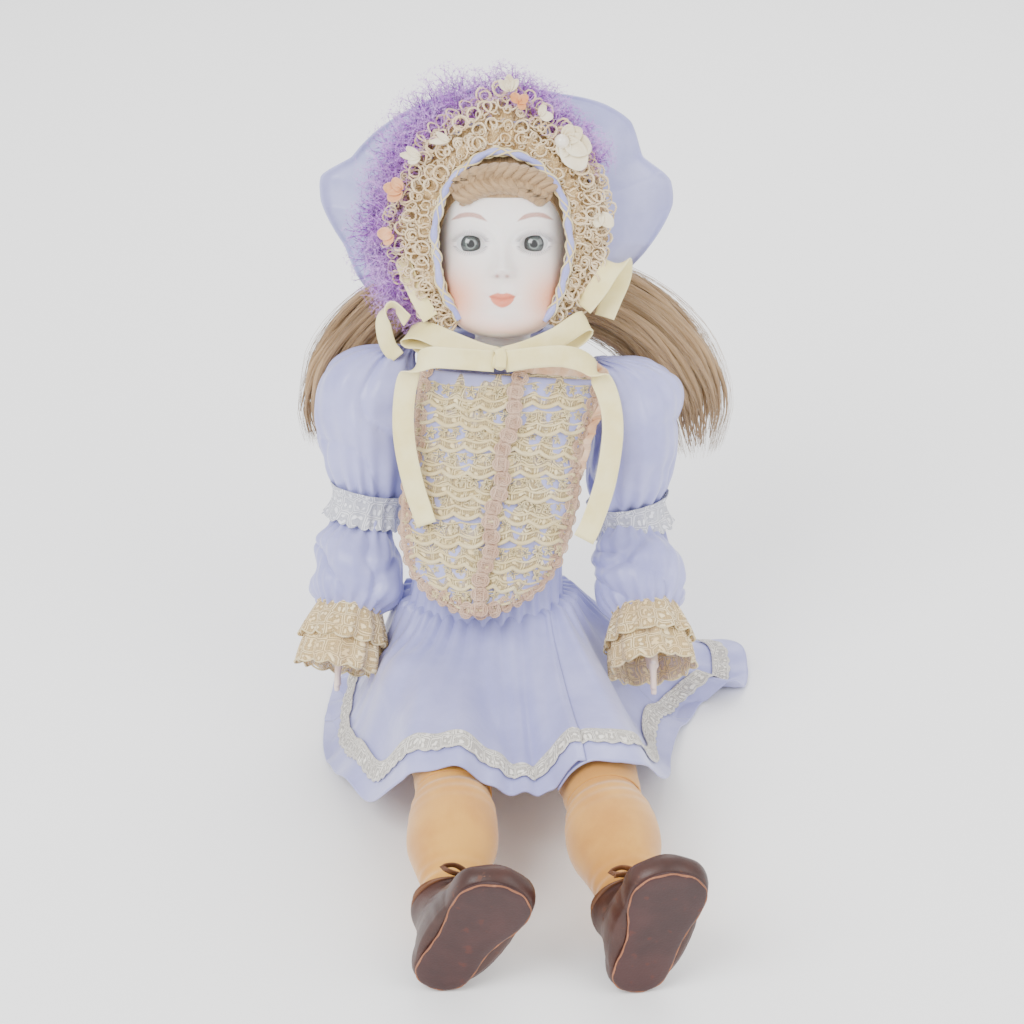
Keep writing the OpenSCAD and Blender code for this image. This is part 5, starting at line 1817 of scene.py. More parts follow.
        centre = self.arch(np.array(36.0), np.array(20.0), np.array(-39.5))
        t = np.linspace(0, math.pi, 24)
        line = centre + np.stack([0 * t, 4.3 * np.cos(t), 0 * t], 1)
        pearl.add_tube(line, 4.3 * np.sin(t) + 0.01, 28, (0, 0, 1))
        settle(pearl.build(self.wardrobe.pearl), "head", "pearl", "pearl_bead")

    def build(self) -> None:
        """Build the whole bonnet."""
        self.crown()
        self.brim()
        self.frill()
        self.cord()
        self.feather()
        self.flowers()


@dataclass
class Ribbons:
    """Cream ribbon tied under the chin: knot, loops, two tails, and the bows at the bonnet's sides."""

    wardrobe: Wardrobe
    place: Place = field(default_factory=head_place)
    width: float = 12.5
    thick: float = 0.6
    knot_at: tuple[float, float, float] = (-1.0, -61.0, -5.0)
    sight: Array = field(default_factory=lambda: np.array([0.0, 0.891, -0.454]) * 11 * MM)

    def strip(self, parts: MeshParts, path: Sequence, across: Sequence, width: Optional[float] = None,
              count: int = 50) -> None:
        """Add a length of ribbon.

        Args:
            parts: the mesh it joins.
            path: control points of its middle.
            across: direction across it at each control point.
            width: its width, the ribbon's own if left out.
            count: rows of its grid.
        """
        middle = spline(path, count)
        turn = spline(across, count)
        along = tangents(middle)
        turn = unit(turn - along * np.sum(turn * along, 1, keepdims=True))
        u = np.linspace(-1, 1, 9)[None, :, None] * (width or self.width) / 2
        crown = np.cross(along, turn)[:, None] * (0.6 * (1 - np.linspace(-1, 1, 9)**2))[None, :, None]
        grid = middle[:, None] + turn[:, None] * u + crown
        run = float(lengths(middle)[-1])
        parts.add_surface(Surface(grid, uv_size=(self.width, run)), self.thick)

    def bow(self) -> None:
        """Build the knot and the loops beside it."""
        sight = self.place.local(np.stack([self.sight, np.zeros(3)]))
        k = np.array(self.knot_at) + (sight[0] - sight[1])
        parts = MeshParts("Chin_bow", self.place)
        up, tilt = (0.0, 0.15, 1.0), (0.2, 0.5, 0.9)
        self.strip(parts, [k + [-2, 0, 0], k + [-14, 1, 3], k + [-30, 7, 9], k + [-46, 17, 15], k + [-56, 27, 13],
                           k + [-54, 30, 8], k + [-44, 25, 7], k + [-24, 12, 3], k + [-3, 3, 0]],
                   [(0, 0.3, 1), (-0.1, 0.2, 1), (0.1, 0.1, 1), (0.3, 0.1, 0.9), (0.5, 0.6, 0.7), (0.2, 0.9, 0.6),
                    (0, 0.6, 0.9), (0, 0.4, 1), (0, 0.3, 1)])
        self.strip(parts, [k + [2, 0, 0], k + [16, 0, 4], k + [32, 4, 11], k + [47, 12, 20], k + [50, 17, 18],
                           k + [44, 17, 11], k + [28, 10, 3], k + [14, 4, 0], k + [2, 2, -1]],
                   [(0, 0.3, 1), (-0.1, 0.1, 1), (-0.25, 0.0, 1), (-0.3, -0.1, 1), (-0.4, 0.5, 0.8), (-0.2, 0.5, 1),
                    (-0.1, 0.3, 1), (0, 0.3, 1), (0, 0.3, 1)])
        self.strip(parts, [k + [-6, 3, -2], k + [-26, 12, -2], k + [-40, 22, 1], k + [-50, 32, 8]],
                   [up, up, tilt, tilt], 10.0)
        self.strip(parts, [(-42, -38, 16), (-48, -36, 26), (-54, -33, 38), (-59, -29, 50)],
                   [(0.9, -0.3, 0.4), (0.9, -0.3, 0.45), (0.85, -0.4, 0.45), (0.8, -0.4, 0.4)], 10.0)
        self.strip(parts, [(-56, -30, 14), (-64, -27, 22), (-70, -22, 14), (-68, -18, 0), (-62, -18, -8)],
                   [(0.3, -0.6, 0.8), (0.2, -0.8, 0.5), (0.9, -0.3, 0.3), (0.95, -0.2, 0), (0.9, -0.3, -0.2)], 10.0)
        self.strip(parts, [(47, -36, 22), (56, -36, 34), (64, -33, 46), (70, -26, 48), (70, -22, 40), (64, -24, 26),
                           (60, -27, 16)],
                   [(0.7, -0.5, -0.4), (0.75, -0.4, -0.5), (0.85, -0.3, -0.4), (0.8, 0.3, 0.2), (0.9, 0, -0.3),
                    (0.9, -0.3, -0.3), (0.9, -0.3, -0.3)], 12.0)
        t = np.linspace(0, 1, 22)
        knot = k + np.stack([-5 + 10 * t, -2.2 * np.sin(math.pi * t), 0.8 * np.sin(t * 9)], 1)
        size = np.stack([6.4 * np.sin(math.pi * (0.12 + 0.76 * t)), 3.6 * np.sin(math.pi * (0.1 + 0.8 * t))], 1)
        parts.add_tube(knot, size * (1 + 0.05 * np.sin(t * 40))[:, None], 20, (0, 1, 0))
        self.strip(parts, [k + [-1, -5.6, 5.5], k + [0.5, -6.4, 1], k + [0, -6.0, -5.5]],
                   [(1, 0, 0.1), (1, 0.1, 0), (1, 0, -0.1)], 5.5, 12)
        settle(parts.build(self.wardrobe.ribbon), "head", "cream_ribbon", "chin_bow")

    def tail(self, side: Side, path: Sequence, across: Sequence) -> None:
        """Hang one tail from the knot over the dress.

        Args:
            side: the doll's side.
            path: middle of the tail, in millimetres of the shared frame.
            across: direction across it at each control point.
        """
        parts = MeshParts(f"Ribbon_tail_{side.value}", WORLD)
        bodice = Bodice(self.wardrobe)
        share = np.linspace(0.3, 0.99, 60)
        front = bodice.place.world(bodice.bib_point(np.full(60, 0.55), share, 7.0)) / MM
        points = np.array(path, float)
        for k in range(len(points)):
            far = np.linspace(0, 60, 121)
            y, z = points[k, 1] + 0.891 * far, points[k, 2] - 0.454 * far
            gap = np.interp(z, front[:, 2], front[:, 1]) - y
            meet = far[int(np.argmax(gap < 0))] if np.any(gap < 0) else 11.0
            reach = 11.0 + (max(meet, 0.0) - 11.0) * float(smooth(np.array((k - 0.5) / 3.5)))
            points[k] += np.array([0.0, 0.891, -0.454]) * reach
        path = [tuple(point) for point in points]
        self.strip(parts, path, across, count=70)
        obj = parts.build(self.wardrobe.ribbon)
        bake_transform(obj)
        dress(obj, "cream_ribbon", f"ribbon_tail_{side.value}")

    def build(self) -> None:
        """Build all the ribbon."""
        self.bow()
        self.tail(Side.RIGHT, [(8, 6, 242), (-14, 3, 245), (-31, 0, 247), (-41, -4, 241), (-45, -12, 226),
                               (-45, -21, 206), (-40, -30, 182), (-32, -37, 158)],
                  [(0, 0.2, 1), (0.1, 0.2, 1), (0.45, 0.1, 0.9), (0.9, 0.1, 0.45), (1, -0.1, 0.1), (1, -0.25, 0),
                   (1, -0.3, -0.1), (0.95, -0.3, 0.05)])
        self.tail(Side.LEFT, [(14, 6, 242), (32, 3, 246), (50, 0, 248), (64, -3, 243), (74, -8, 228),
                              (77, -15, 208), (73, -23, 180), (65, -30, 156), (60, -33, 146)],
                  [(0, 0.2, 1), (-0.1, 0.1, 1), (-0.3, 0.1, 1), (-0.7, 0.1, 0.7), (-1, 0, 0.25), (-1, 0, 0),
                   (-1, -0.1, -0.15), (-1, -0.1, -0.2), (-1, -0.1, -0.1)])


# ------------------------------------------------------------------ dress


@dataclass
class Bodice:
    """Satin bodice with a lace bib, gimp braid and an organza ruffle, on the torso."""

    wardrobe: Wardrobe
    place: Place = field(default_factory=torso_place)
    spine: float = 203.0
    chest: float = 46.0
    body_outline: tuple = ((0.08, 1.08, 0.74), (0.15, 1.05, 0.73), (0.30, 0.93, 0.65), (0.45, 0.91, 0.63),
                           (0.60, 0.97, 0.67), (0.74, 1.01, 0.67), (0.83, 1.00, 0.61), (0.89, 0.92, 0.54),
                           (0.935, 0.66, 0.47), (0.955, 0.50, 0.42))
    bib: tuple = ((0.238, -6.5, 3, 18.5), (0.247, -6.3, 12, 18), (0.27, -6, 24, 16.5), (0.31, -5.5, 35, 13.5),
                  (0.36, -5, 42, 10.5), (0.44, -4, 47, 7.5), (0.55, -2, 49, 4.5), (0.70, 1, 47, 3.2),
                  (0.82, 4, 50, 3.2), (0.915, 7, 51, 3.2))
    row_drop: float = 18.5
    scallop: float = 15.0

    def bodice(self) -> None:
        """Build the satin body of the dress."""
        outline = spline(self.body_outline, 90)
        a = np.arange(200) * 2 * math.pi / 200
        pleats = 1.1 * np.sin(26 * a + np.sin(5 * a)) * smooth((0.45 - outline[:, :1]) / 0.2)
        soft = 1.3 * wander((90, 200), (7, 12), 70, True)
        rx = outline[:, 1:2] * self.chest + 2.2 + pleats + soft
        ry = outline[:, 2:3] * self.chest + 2.2 + pleats + soft
        grid = np.stack([rx * np.cos(a), ry * np.sin(a), outline[:, :1] * self.spine + 0 * a], -1)
        parts = MeshParts("Dress_bodice", self.place)
        parts.add_surface(Surface(grid, wrap_u=True), 0.8)
        obj = settle(parts.build(self.wardrobe.dress), "torso", "dress_satin", "dress_bodice")
        lay(obj, parts, 0.18, "stretched", "torso_shell")

    def bib_point(self, u: Array, share: Array, lift: Array) -> Array:
        """Points on the bib: u from -1 to 1 across it, share up the spine, lift in front of its base."""
        rows = np.array(self.bib, float)
        shift, half, stand = (np.interp(share, rows[:, 0], rows[:, k]) for k in (1, 2, 3))
        widest = np.maximum(half, 30.0)
        y = (-(0.72 * self.chest + 3.6 + stand + lift)
             * np.sqrt(np.clip(1 - np.square(u * half / (widest * 1.35)), 0, 1)))
        return np.stack(np.broadcast_arrays(shift + u * half, y, share * self.spine), -1)

    def panel(self) -> None:
        """Build the satin ground of the bib."""
        u = np.linspace(-1, 1, 60)[None]
        share = spline([(s,) for s in (0.238, 0.27, 0.36, 0.55, 0.915)], 70)
        parts = MeshParts("Bib_ground", self.place)
        parts.add_surface(Surface(self.bib_point(u, share, 0.0)), 1.2, flip=True)
        obj = settle(parts.build(self.wardrobe.dress), "torso", "dress_satin", "bib_panel")

    def lace_rows(self) -> None:
        """Sew rows of scalloped lace across the bib, each over the head of the next."""
        lace, cords = MeshParts("Bib_lace_rows", self.place), MeshParts("Bib_scallop_cords", self.place)
        lines, facings = [], []
        cols = 190
        u = np.linspace(-0.99, 0.99, cols)
        rows = np.array(self.bib, float)
        for k, top in enumerate(np.linspace(0.925, 0.33, 10)[::-1]):
            half = float(np.interp(top - 0.05, rows[:, 0], rows[:, 2]))
            x = u * half
            scallop = np.abs(np.sin(math.pi * (x + 5 * k) / self.scallop))
            drop = self.row_drop + 3.0 * scallop
            lean = 1.6 * np.sin(x / 17 + k * 2.1) + 0.8 * np.sign(x) * (k % 2)
            v = np.linspace(0, 1, 9)[:, None]
            share = np.clip(top + (lean - drop * v) / self.spine, 0.239, 0.93)
            lift = 0.7 + 1.9 * v**1.5 + 0.7 * np.sin(x / 2.3 + 3 * k) * v + 0.6 * wander((9, cols), (2, 26), 80 + k)
            grid = self.bib_point(u[None], share, lift)
            lace.add_surface(Surface(grid, uv_size=(2 * half, self.row_drop)), 0.4, flip=True)
            for at, radius in ((8, 1.25), (6, 0.7), (3, 0.6)):
                cords.add_tube(grid[at] + [0, -0.3, 0], radius, 5, (0, 1, 0.2))
            lines.append(grid[4] + [0, -0.4, 0])
            facings.append(np.tile([0.0, -1.0, 0.1], (cols, 1)))
        obj = settle(lace.build(self.wardrobe.bib_lace), "torso", "floral_lace")
        lay(obj, lace, 0.02, "laid", "bib_panel")
        settle(cords.build(self.wardrobe.cream), "torso", "floral_lace")
        t = np.linspace(0, 2 * math.pi, 31)
        bloom = np.stack([(1.5 + 1.1 * np.cos(5 * t)) * np.cos(t), (1.5 + 1.1 * np.cos(5 * t)) * np.sin(t),
                          0.5 + 0 * t], 1)
        obj = REPEAT.run("Bib_blooms", self.place, lines, facings, tube_motif("Bloom", [bloom], [0.42], 3), 7.6,
                         self.wardrobe.cream, (0.9, 1.5), (14, 14, 180), 91)
        settle(obj, "torso", "floral_lace")

    def scroll(self, name: str) -> bpy.types.Object:
        """The gimp's motif: three nested arcs and a small shell."""
        a = np.linspace(-0.25, 1.25, 9) * math.pi
        arcs = [np.stack([r * np.cos(a), 1.2 + r * np.sin(a), 0.5 + 0 * a], 1) for r in (3.5, 2.4, 1.3)]
        stem = np.array([(-4.2, -1.6, 0.3), (-2, -2.6, 0.5), (0, -2.2, 0.6), (2, -2.6, 0.5), (4.2, -1.6, 0.3)])
        return tube_motif(name, [*arcs, stem], [0.55, 0.5, 0.45, 0.6])

    def gimp(self) -> None:
        """Sew gimp braid down the middle and round the edge of the bib."""
        share = np.linspace(0.913, 0.245, 120)
        face = np.tile([0.0, -1.0, 0.0], (120, 1))
        middle = self.bib_point(0.10 - 0.06 * (0.913 - share), share, 4.3)
        middle[:, 0] += 1.6 * np.sin(share * 34)
        left, right = (self.bib_point(np.full(120, s * 1.0), share, 2.4) for s in (-1, 1))
        bottom = self.bib_point(np.linspace(-1, 1, 40), np.full(40, 0.241), 2.6)
        edge = spline(np.concatenate([left[::6], bottom[::8], right[::-6]]), 260)
        edge_face = unit(np.stack([edge[:, 0] * 0.014, -np.ones(260), np.zeros(260)], 1))
        base = MeshParts("Gimp_base", self.place)
        for line, facing in ((middle, face), (edge, edge_face)):
            base.add_tube(line + facing * -0.9, np.tile([3.7, 0.7], (len(line), 1)), 8, (0, 1, 0))
        settle(base.build(self.wardrobe.gimp), "torso", "gimp_braid", "bib_braid")
        for index, turn in enumerate((1, -1)):
            lines = [middle[::turn], edge[::turn]]
            facings = [face, edge_face[::turn]]
            obj = REPEAT.run(f"Gimp_scrolls_{index}", self.place, lines, facings, self.scroll(f"Scroll_{index}"), 8.6,
                             self.wardrobe.gimp, (0.95, 1.1), (5, 5, 6), 95 + index)
            settle(obj, "torso", "gimp_braid")

    def gathered(self, name: str, path: Sequence, outward: Sequence, width: Array, wave: float, height: float,
                 material: bpy.types.Material, seed: int) -> bpy.types.Object:
        """Build a gathered strip along a path.

        Args:
            name: name of the piece.
            path: control points of its sewn edge.
            outward: direction from the sewn edge to the free edge at each control point.
            width: width at each control point.
            wave: length of one gather.
            height: height of a gather at the free edge.
            material: its finish.
            seed: seed of the random drift.

        Returns:
            The strip.
        """
        count = 420
        line, out, wide = spline(path, count), unit(spline(outward, count)), spline([(w,) for w in width], count)
        along = tangents(line)
        lift = unit(np.cross(along, out))
        run = lengths(line)
        drift = wander((1, count), (1, 30), seed)[0]
        v = np.linspace(0, 1, 9)[:, None, None]
        phase = 2 * math.pi * run / wave + 1.8 * drift
        grid = (line + out * wide * v + lift * (height * (np.sin(phase) + 0.4 * drift))[:, None] * (0.25 + 0.75 * v)
                + along * (0.5 * height * np.sin(2 * phase))[:, None] * v)
        parts = MeshParts(name, self.place)
        parts.add_surface(Surface(grid), 0.45)
        return lay(parts.build(material), parts, 0.012, "gathered", "dress_bodice")

    def ruffle(self) -> None:
        """Build the organza ruffle at the neck and down the left edge, and the lace stand beside it."""
        top = [self.bib_point(np.array(u), np.array(0.915 + 0.012 * (1 - u * u)), np.array(3.5))
               for u in (0.05, 0.3, 0.6, 0.9)]
        down = [self.bib_point(np.array(1.02), np.array(s), np.array(2.0)) for s in (0.88, 0.82, 0.74, 0.64)]
        ways = [(0.0, -0.45, 0.9), (0.1, -0.4, 0.9), (0.25, -0.3, 0.9), (0.6, -0.25, 0.7), (0.95, -0.3, 0.2),
                (1, -0.35, 0), (1, -0.35, -0.1), (1, -0.3, -0.1)]
        obj = self.gathered("Organza_ruffle", top + down, ways, (8, 10, 11, 12, 11, 9, 7, 4), 8.5, 2.3,
                            self.wardrobe.organza, 101)
        settle(obj, "torso", "organza", "neck_ruffle")
        neck = [(-38, -34, 186), (-30, -38, 190), (-12, -42, 193), (6, -43, 193), (24, -41, 192), (40, -36, 189)]
        obj = self.gathered("Neck_lace", neck, [(-0.3, -0.5, 0.9), (-0.2, -0.5, 0.9), (0, -0.5, 0.9), (0, -0.5, 0.9),
                                                (0.2, -0.5, 0.9), (0.3, -0.5, 0.9)], (7, 8, 9, 9, 9, 7), 6.5, 1.6,
                            self.wardrobe.frill_lace, 102)
        settle(obj, "torso", "organza")

    def build(self) -> None:
        """Build the bodice and everything sewn on it."""
        self.bodice()
        self.panel()
        self.lace_rows()
        self.gimp()
        self.ruffle()


@dataclass
class Sleeve:
    """One puffed satin sleeve, with a lace band at the elbow and a lace cuff."""

    wardrobe: Wardrobe
    side: Side

    def __post_init__(self) -> None:
        """Find the arm's frames."""
        self.arm, self.fore = arm_place(self.side), forearm_place(self.side)
        self.tag = self.side.value
        self.seed = 110 if self.side is Side.RIGHT else 140

    def puff(self, name: str, place: Place, stations: Sequence, gathers: int, seed: int) -> MeshParts:
        """Add a gathered puff through (z, half width, half depth, outward shift) stations."""
        rows, cols = 96, 180
        line = spline(stations, rows)
        a = np.arange(cols) * 2 * math.pi / cols
        share = np.linspace(0, 1, rows)[:, None]
        ends = bell(share / 0.16) + bell((share - 1) / 0.16)
        sway = wander((rows, cols), (6, 9), seed, True)
        diagonal = np.abs(np.sin(2 * a + 4.5 * share + seed + 1.2 * sway))**0.6
        fold = (1.5 * np.sin(gathers * a + 2.5 * wander((1, cols), (1, 9), seed + 1, True)) * (0.22 + ends)
                + 3.4 * sway * (1 - 0.6 * ends)
                + 4.2 * (diagonal - 0.75) * bell((share - 0.5) / 0.28)
                - 3.4 * bell((wander((rows, cols), (4, 6), seed + 2, True)) / 0.16) * bell((share - 0.5) / 0.3))
        rx, ry = line[:, 1:2] + fold, line[:, 2:3] + fold
        grid = np.stack([self.side.sign * line[:, 3:4] + rx * np.cos(a), ry * np.sin(a), line[:, :1] + 0.8 * sway], -1)
        parts = MeshParts(name, place)
        parts.add_surface(Surface(grid, wrap_u=True), 0.8)
        return parts

    def cloth(self) -> None:
        """Build the upper and the lower puff."""
        stations = [(-82, 16.5, 16.5, 0), (-76, 19, 19, 0), (-68, 24, 24, 1), (-55, 28, 28, 4), (-38, 29.5, 29, 8),
                    (-18, 30, 29, 11), (-2, 28.5, 26, 10.5), (9, 23, 19, 7), (15, 16, 13, 2), (18, 8, 7, -4),
                    (19, 1.5, 1.5, -6)]
        obj = self.puff(f"Sleeve_puff_{self.tag}", self.arm, stations, 17, self.seed).build(self.wardrobe.dress)
        low, high = self.arm.world(np.array([[0, 0, -22], [0, 0, 20]]))
        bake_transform(obj)
        dress(obj, "dress_satin", f"sleeve_upper_{self.tag}")
        stations = [(-66, 16, 16, 0), (-61, 20, 20, 0), (-54, 26, 25.5, 0), (-44, 29.5, 28.5, 0), (-33, 30, 29, 0),
                    (-23, 26, 25.5, 0), (-13, 20, 19.5, 0), (-5, 16.5, 16.5, 0)]
        puff = self.puff(f"Sleeve_lower_puff_{self.tag}", self.fore, stations, 19, self.seed + 9)
        obj = puff.build(self.wardrobe.dress)
        elbow = self.fore.world(np.array([0.0, 0, 0]))
        start, end = elbow + self.arm.axes[2] * 0.006, self.fore.world(np.array([0.0, 0, -30]))
        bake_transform(obj)
        dress(obj, "dress_satin", f"sleeve_lower_{self.tag}")

    def lace(self, name: str, place: Place, stations: Sequence, waves: int, height: float, scallops: int,
             seed: int, rows: int = 26) -> MeshParts:
        """Add a ruffled lace tube through (z, radius) stations, scalloped at its last edge."""
        cols = 300
        line = spline(stations, rows)
        a = np.arange(cols) * 2 * math.pi / cols
        share = np.linspace(0, 1, rows)[:, None]
        ruffle = height * np.sin(waves * a + 1.5 * wander((1, cols), (1, 12), seed, True)) * (0.2 + 0.8 * share)
        radius = line[:, 1:2] + ruffle + 0.7 * wander((rows, cols), (3, 16), seed + 1, True)
        z = line[:, :1] - 2.2 * np.abs(np.sin(scallops * a / 2)) * smooth((share - 0.7) / 0.3) + 0 * a
        parts = MeshParts(name, place)
        grid = np.stack([radius * np.cos(a), radius * np.sin(a), z], -1)
        parts.add_surface(Surface(grid, wrap_u=True), 0.5, flip=True)
        return parts

    def trims(self) -> None:
        """Build the elbow band and the two layers of the cuff."""
        band = self.lace(f"Elbow_band_{self.tag}", self.arm, [(-71, 25.5), (-76, 23.0), (-81, 22.4), (-86, 23.0),
                                                              (-90, 25.5)], 15, 0.9, 22, self.seed + 3)
        obj = settle(band.build(self.wardrobe.band_lace), f"upper_arm_{self.tag}", "cream_lace",
                     f"sleeve_band_{self.tag}")
        lay(obj, band, 0.02, "gathered", f"sleeve_upper_{self.tag}")
        for index, (stations, waves, height) in enumerate((
                ([(-58, 17.0), (-66, 19.5), (-76, 22.5), (-88, 24.5), (-97, 25.0)], 9, 1.9),
                ([(-57, 18.0), (-64, 21.0), (-72, 24.0), (-80, 26.0)], 11, 1.7))):
            parts = self.lace(f"Cuff_lace_{self.tag}_{index}", self.fore, stations, waves, height, 14,
                              self.seed + 5 + index)
            obj = parts.build(self.wardrobe.cuff_lace)
            settle(obj, f"forearm_{self.tag}", "cream_lace", *([f"cuff_lace_{self.tag}"] if index == 0 else []))
            lay(obj, parts, 0.035, "gathered", f"sleeve_lower_{self.tag}")
        t = np.arange(300) * 2 * math.pi / 300
        rims = MeshParts(f"Cuff_edges_{self.tag}", self.fore)
        for z, radius, waves in ((-97, 25.3, 9), (-80, 26.3, 11), (-59, 18.6, 15)):
            wavy = radius + 1.6 * np.sin(waves * t)
            edge = np.stack([wavy * np.cos(t), wavy * np.sin(t), z - 2.2 * np.abs(np.sin(7 * t))], 1)
            rims.add_tube(edge, 0.6, 5, (0, 0, 1), closed=True)
        settle(rims.build(self.wardrobe.cream), f"forearm_{self.tag}", "cream_lace")

    def build(self) -> None:
        """Build the whole sleeve."""
        self.cloth()
        self.trims()


@dataclass
class Skirt:
    """Satin skirt: one spread sheet from the waist to the hem over both legs, cut in three where it opens."""

    wardrobe: Wardrobe
    waist: tuple[float, float, float] = (3.0, 18.0, 84.0)
    waist_rx: float = 54.0
    waist_ry: float = 38.0
    # hem points: x, y, height, and the angle at the waist that each hangs from
    hem: tuple = ((-98, 4, 2, 197), (-96, -32, 3, 212), (-88, -64, 8, 223), (-73, -102, 20, 235), (-50, -141, 42, 248),
                  (-20, -157, 52, 260), (1, -160, 55, 271), (30, -157, 50, 290), (56, -151, 42, 312),
                  (76, -152, 50, 320), (92, -143, 55, 327), (108, -95, 30, 334), (113, -50, 9, 339),
                  (121, -14, 3, 344), (130, 6, 3, 349), (138, 24, 3, 353), (153, 28, 14, 358), (165, 40, 4, 364),
                  (169, 62, 3, 376), (165, 84, 3, 392), (140, 98, 3, 408), (100, 106, 3, 426), (40, 108, 3, 448),
                  (-20, 104, 3, 468), (-66, 88, 3, 494), (-92, 52, 3, 526))
    cover: float = 31.0
    rows: int = 74
    cols: int = 620
    wall: float = 0.9

    def leg_heights(self, x: Array, y: Array) -> Array:
        """Height of the cloth where it lies on the legs."""
        best = np.full(x.shape, -50.0)
        for side in Side:
            hip, knee = (joint_pos(f"{name}_{side.value}") / MM for name in ("hip_swing", "knee_bend"))
            foot = knee + shin_place(side).axes[2] * 110
            ys = np.array([foot[1], knee[1], hip[1], 40.0])
            cx = np.interp(y, ys, [foot[0], knee[0], hip[0], hip[0]])
            cz = np.interp(y, ys, [foot[2], knee[2], hip[2], hip[2] - 30])
            radius = np.interp(y, [foot[1], knee[1] - 26, knee[1], hip[1] - 40, 0.0],
                               [26, 27, self.cover - 2, self.cover, self.cover - 4])
            d = np.abs(x - cx)
            top = np.where(d < radius * 0.96, np.sqrt(np.clip(radius**2 - d**2, 0, None)),
                           radius * 0.28 - (d - radius * 0.96) * 2.2)
            height = cz + top - 60 * smooth((y + 12) / 30)
            best = np.maximum(best, height)
        return best

    def sheet_grid(self) -> Array:
        """Grid of the whole skirt, waist to hem by once round."""
        joined = np.array(self.hem + ((-98, 4, 2, 557),), float)
        ring = spline(joined, self.cols + 1)[:-1]
        v = np.linspace(0, 1, self.rows)[:, None]
        a = np.radians(ring[:, 3])
        v = np.concatenate([[[0.0]], v])
        wx, wy = self.waist[0] + self.waist_rx * np.cos(a), self.waist[1] + self.waist_ry * np.sin(a)
        x, y = wx + (ring[:, 0] - wx) * v, wy + (ring[:, 1] - wy) * v
        z = ring[:, 2] + (self.waist[2] - ring[:, 2]) * (1 - v)**1.7
        over = self.leg_heights(x, y)
        soft = 7.0
        z = np.logaddexp(z / soft, over / soft) * soft - 1.5
        gathers = np.sin(ring[:, 3] * math.pi / 180 * 34 + 3 * np.sin(a * 3)) * bell(v / 0.22) * 1.5
        swell = 3.2 * wander((self.rows + 1, self.cols), (3, 22), 160, True) * smooth(v / 0.5)
        fold = 3.0 * np.sin(a * 15 + 2.4 * np.sin(a * 4 + 1)) * smooth((v - 0.12) / 0.7)
        fold = fold + 1.2 * np.sin(a * 23 + 3 * np.sin(a * 5)) * smooth((v - 0.1) / 0.4)
        z = z + gathers + swell + fold
        z = np.maximum(z, 1.6 + 1.6 * np.clip(swell / 3.2, 0, 1))
        grid = np.stack(np.broadcast_arrays(x, y, z), -1)
        middle = np.array([self.waist[0], self.waist[1] + 6, self.waist[2] + 3.0])
        grid[0] = middle + (grid[0] - middle) * [0.72, 0.62, 0.2]
        return grid

    def piece(self, name: str, grid: Array, body: Optional[str], *nodes: str) -> bpy.types.Object:
        """Build one panel.

        Args:
            name: name of the panel.
            grid: its points.
            body: the thigh named for its front, if any; a named thigh leaves the panel fixed in the shared frame.
            nodes: solids that it replaces.

        Returns:
            The panel.
        """
        surface = Surface(grid)
        parts = MeshParts(name, WORLD)
        parts.add_surface(surface, self.wall)
        obj = parts.build(self.wardrobe.dress)
        self.attach(obj, body)
        dress(obj, "dress_satin", *nodes)
        return obj

    def attach(self, obj: bpy.types.Object, body: Optional[str]) -> None:
        """Make a piece follow the torso, or leave it fixed in the shared frame when a thigh is named."""
        if body is None:
            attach(obj, "torso")
        else:
            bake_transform(obj)

    def trim(self, name: str, grid: Array, body: Optional[str]) -> None:
        """Sew a lace band near the hem of a panel.

        Args:
            name: name of the band.
            grid: points of the panel.
            body: the thigh named for the panel, if any; a named thigh leaves the band fixed in the shared frame.
        """
        normal = grid_normals(grid, False, False)
        normal = normal * np.sign(np.mean(normal[..., 2]))
        cols = grid.shape[1]
        strip = np.zeros((7, cols, 3))
        run_u = lengths(grid[-1])
        for j in range(cols):
            run = lengths(grid[:, j])
            scallop = 1.6 * abs(math.sin(math.pi * run_u[j] / 9.0))
            want = run[-1] - 14.5 - np.linspace(11.5, -scallop, 7)
            for k in range(3):
                strip[:, j, k] = np.interp(want, run, grid[:, j, k] + 1.9 * normal[:, j, k])
        parts = MeshParts(name, WORLD)
        parts.add_surface(Surface(strip, uv_size=(float(run_u[-1]), 12.0)), 0.5)
        obj = parts.build(self.wardrobe.hem_lace)
        lay(obj, parts, 0.012, "laid", name.replace("Hem_lace", "Skirt" if body is None else "Skirt_front"))
        self.attach(obj, body)
        dress(obj, "cream_lace")

    def petticoat(self) -> None:
        """Build the flattened petticoat that the doll sits on, with a ruffled lace edge."""
        low, high = (np.array(corner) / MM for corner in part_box("petticoat"))
        centre, half = (low + high) / 2, (high - low) / 2
        a = np.arange(240) * 2 * math.pi / 240
        stations = spline([(0.01, high[2] - 0.6), (0.5, high[2] - 0.8), (0.85, high[2] - 1.2), (0.965, 3.4),
                           (0.995, 1.9), (0.97, 0.7), (0.7, 0.35), (0.01, 0.3)], 60)
        ripple = 1 + 0.012 * np.sin(40 * a) * smooth((stations[:, :1] - 0.6) / 0.3)
        grid = np.stack([centre[0] + half[0] * stations[:, :1] * ripple * np.cos(a),
                         centre[1] + half[1] * stations[:, :1] * ripple * np.sin(a),
                         stations[:, 1:] + 0 * a], -1)
        parts = MeshParts("Petticoat_seat", WORLD)
        parts.add_surface(Surface(grid, wrap_u=True), flip=False)
        obj = settle(parts.build(self.wardrobe.cotton), "torso", "petticoat_cotton", "petticoat")

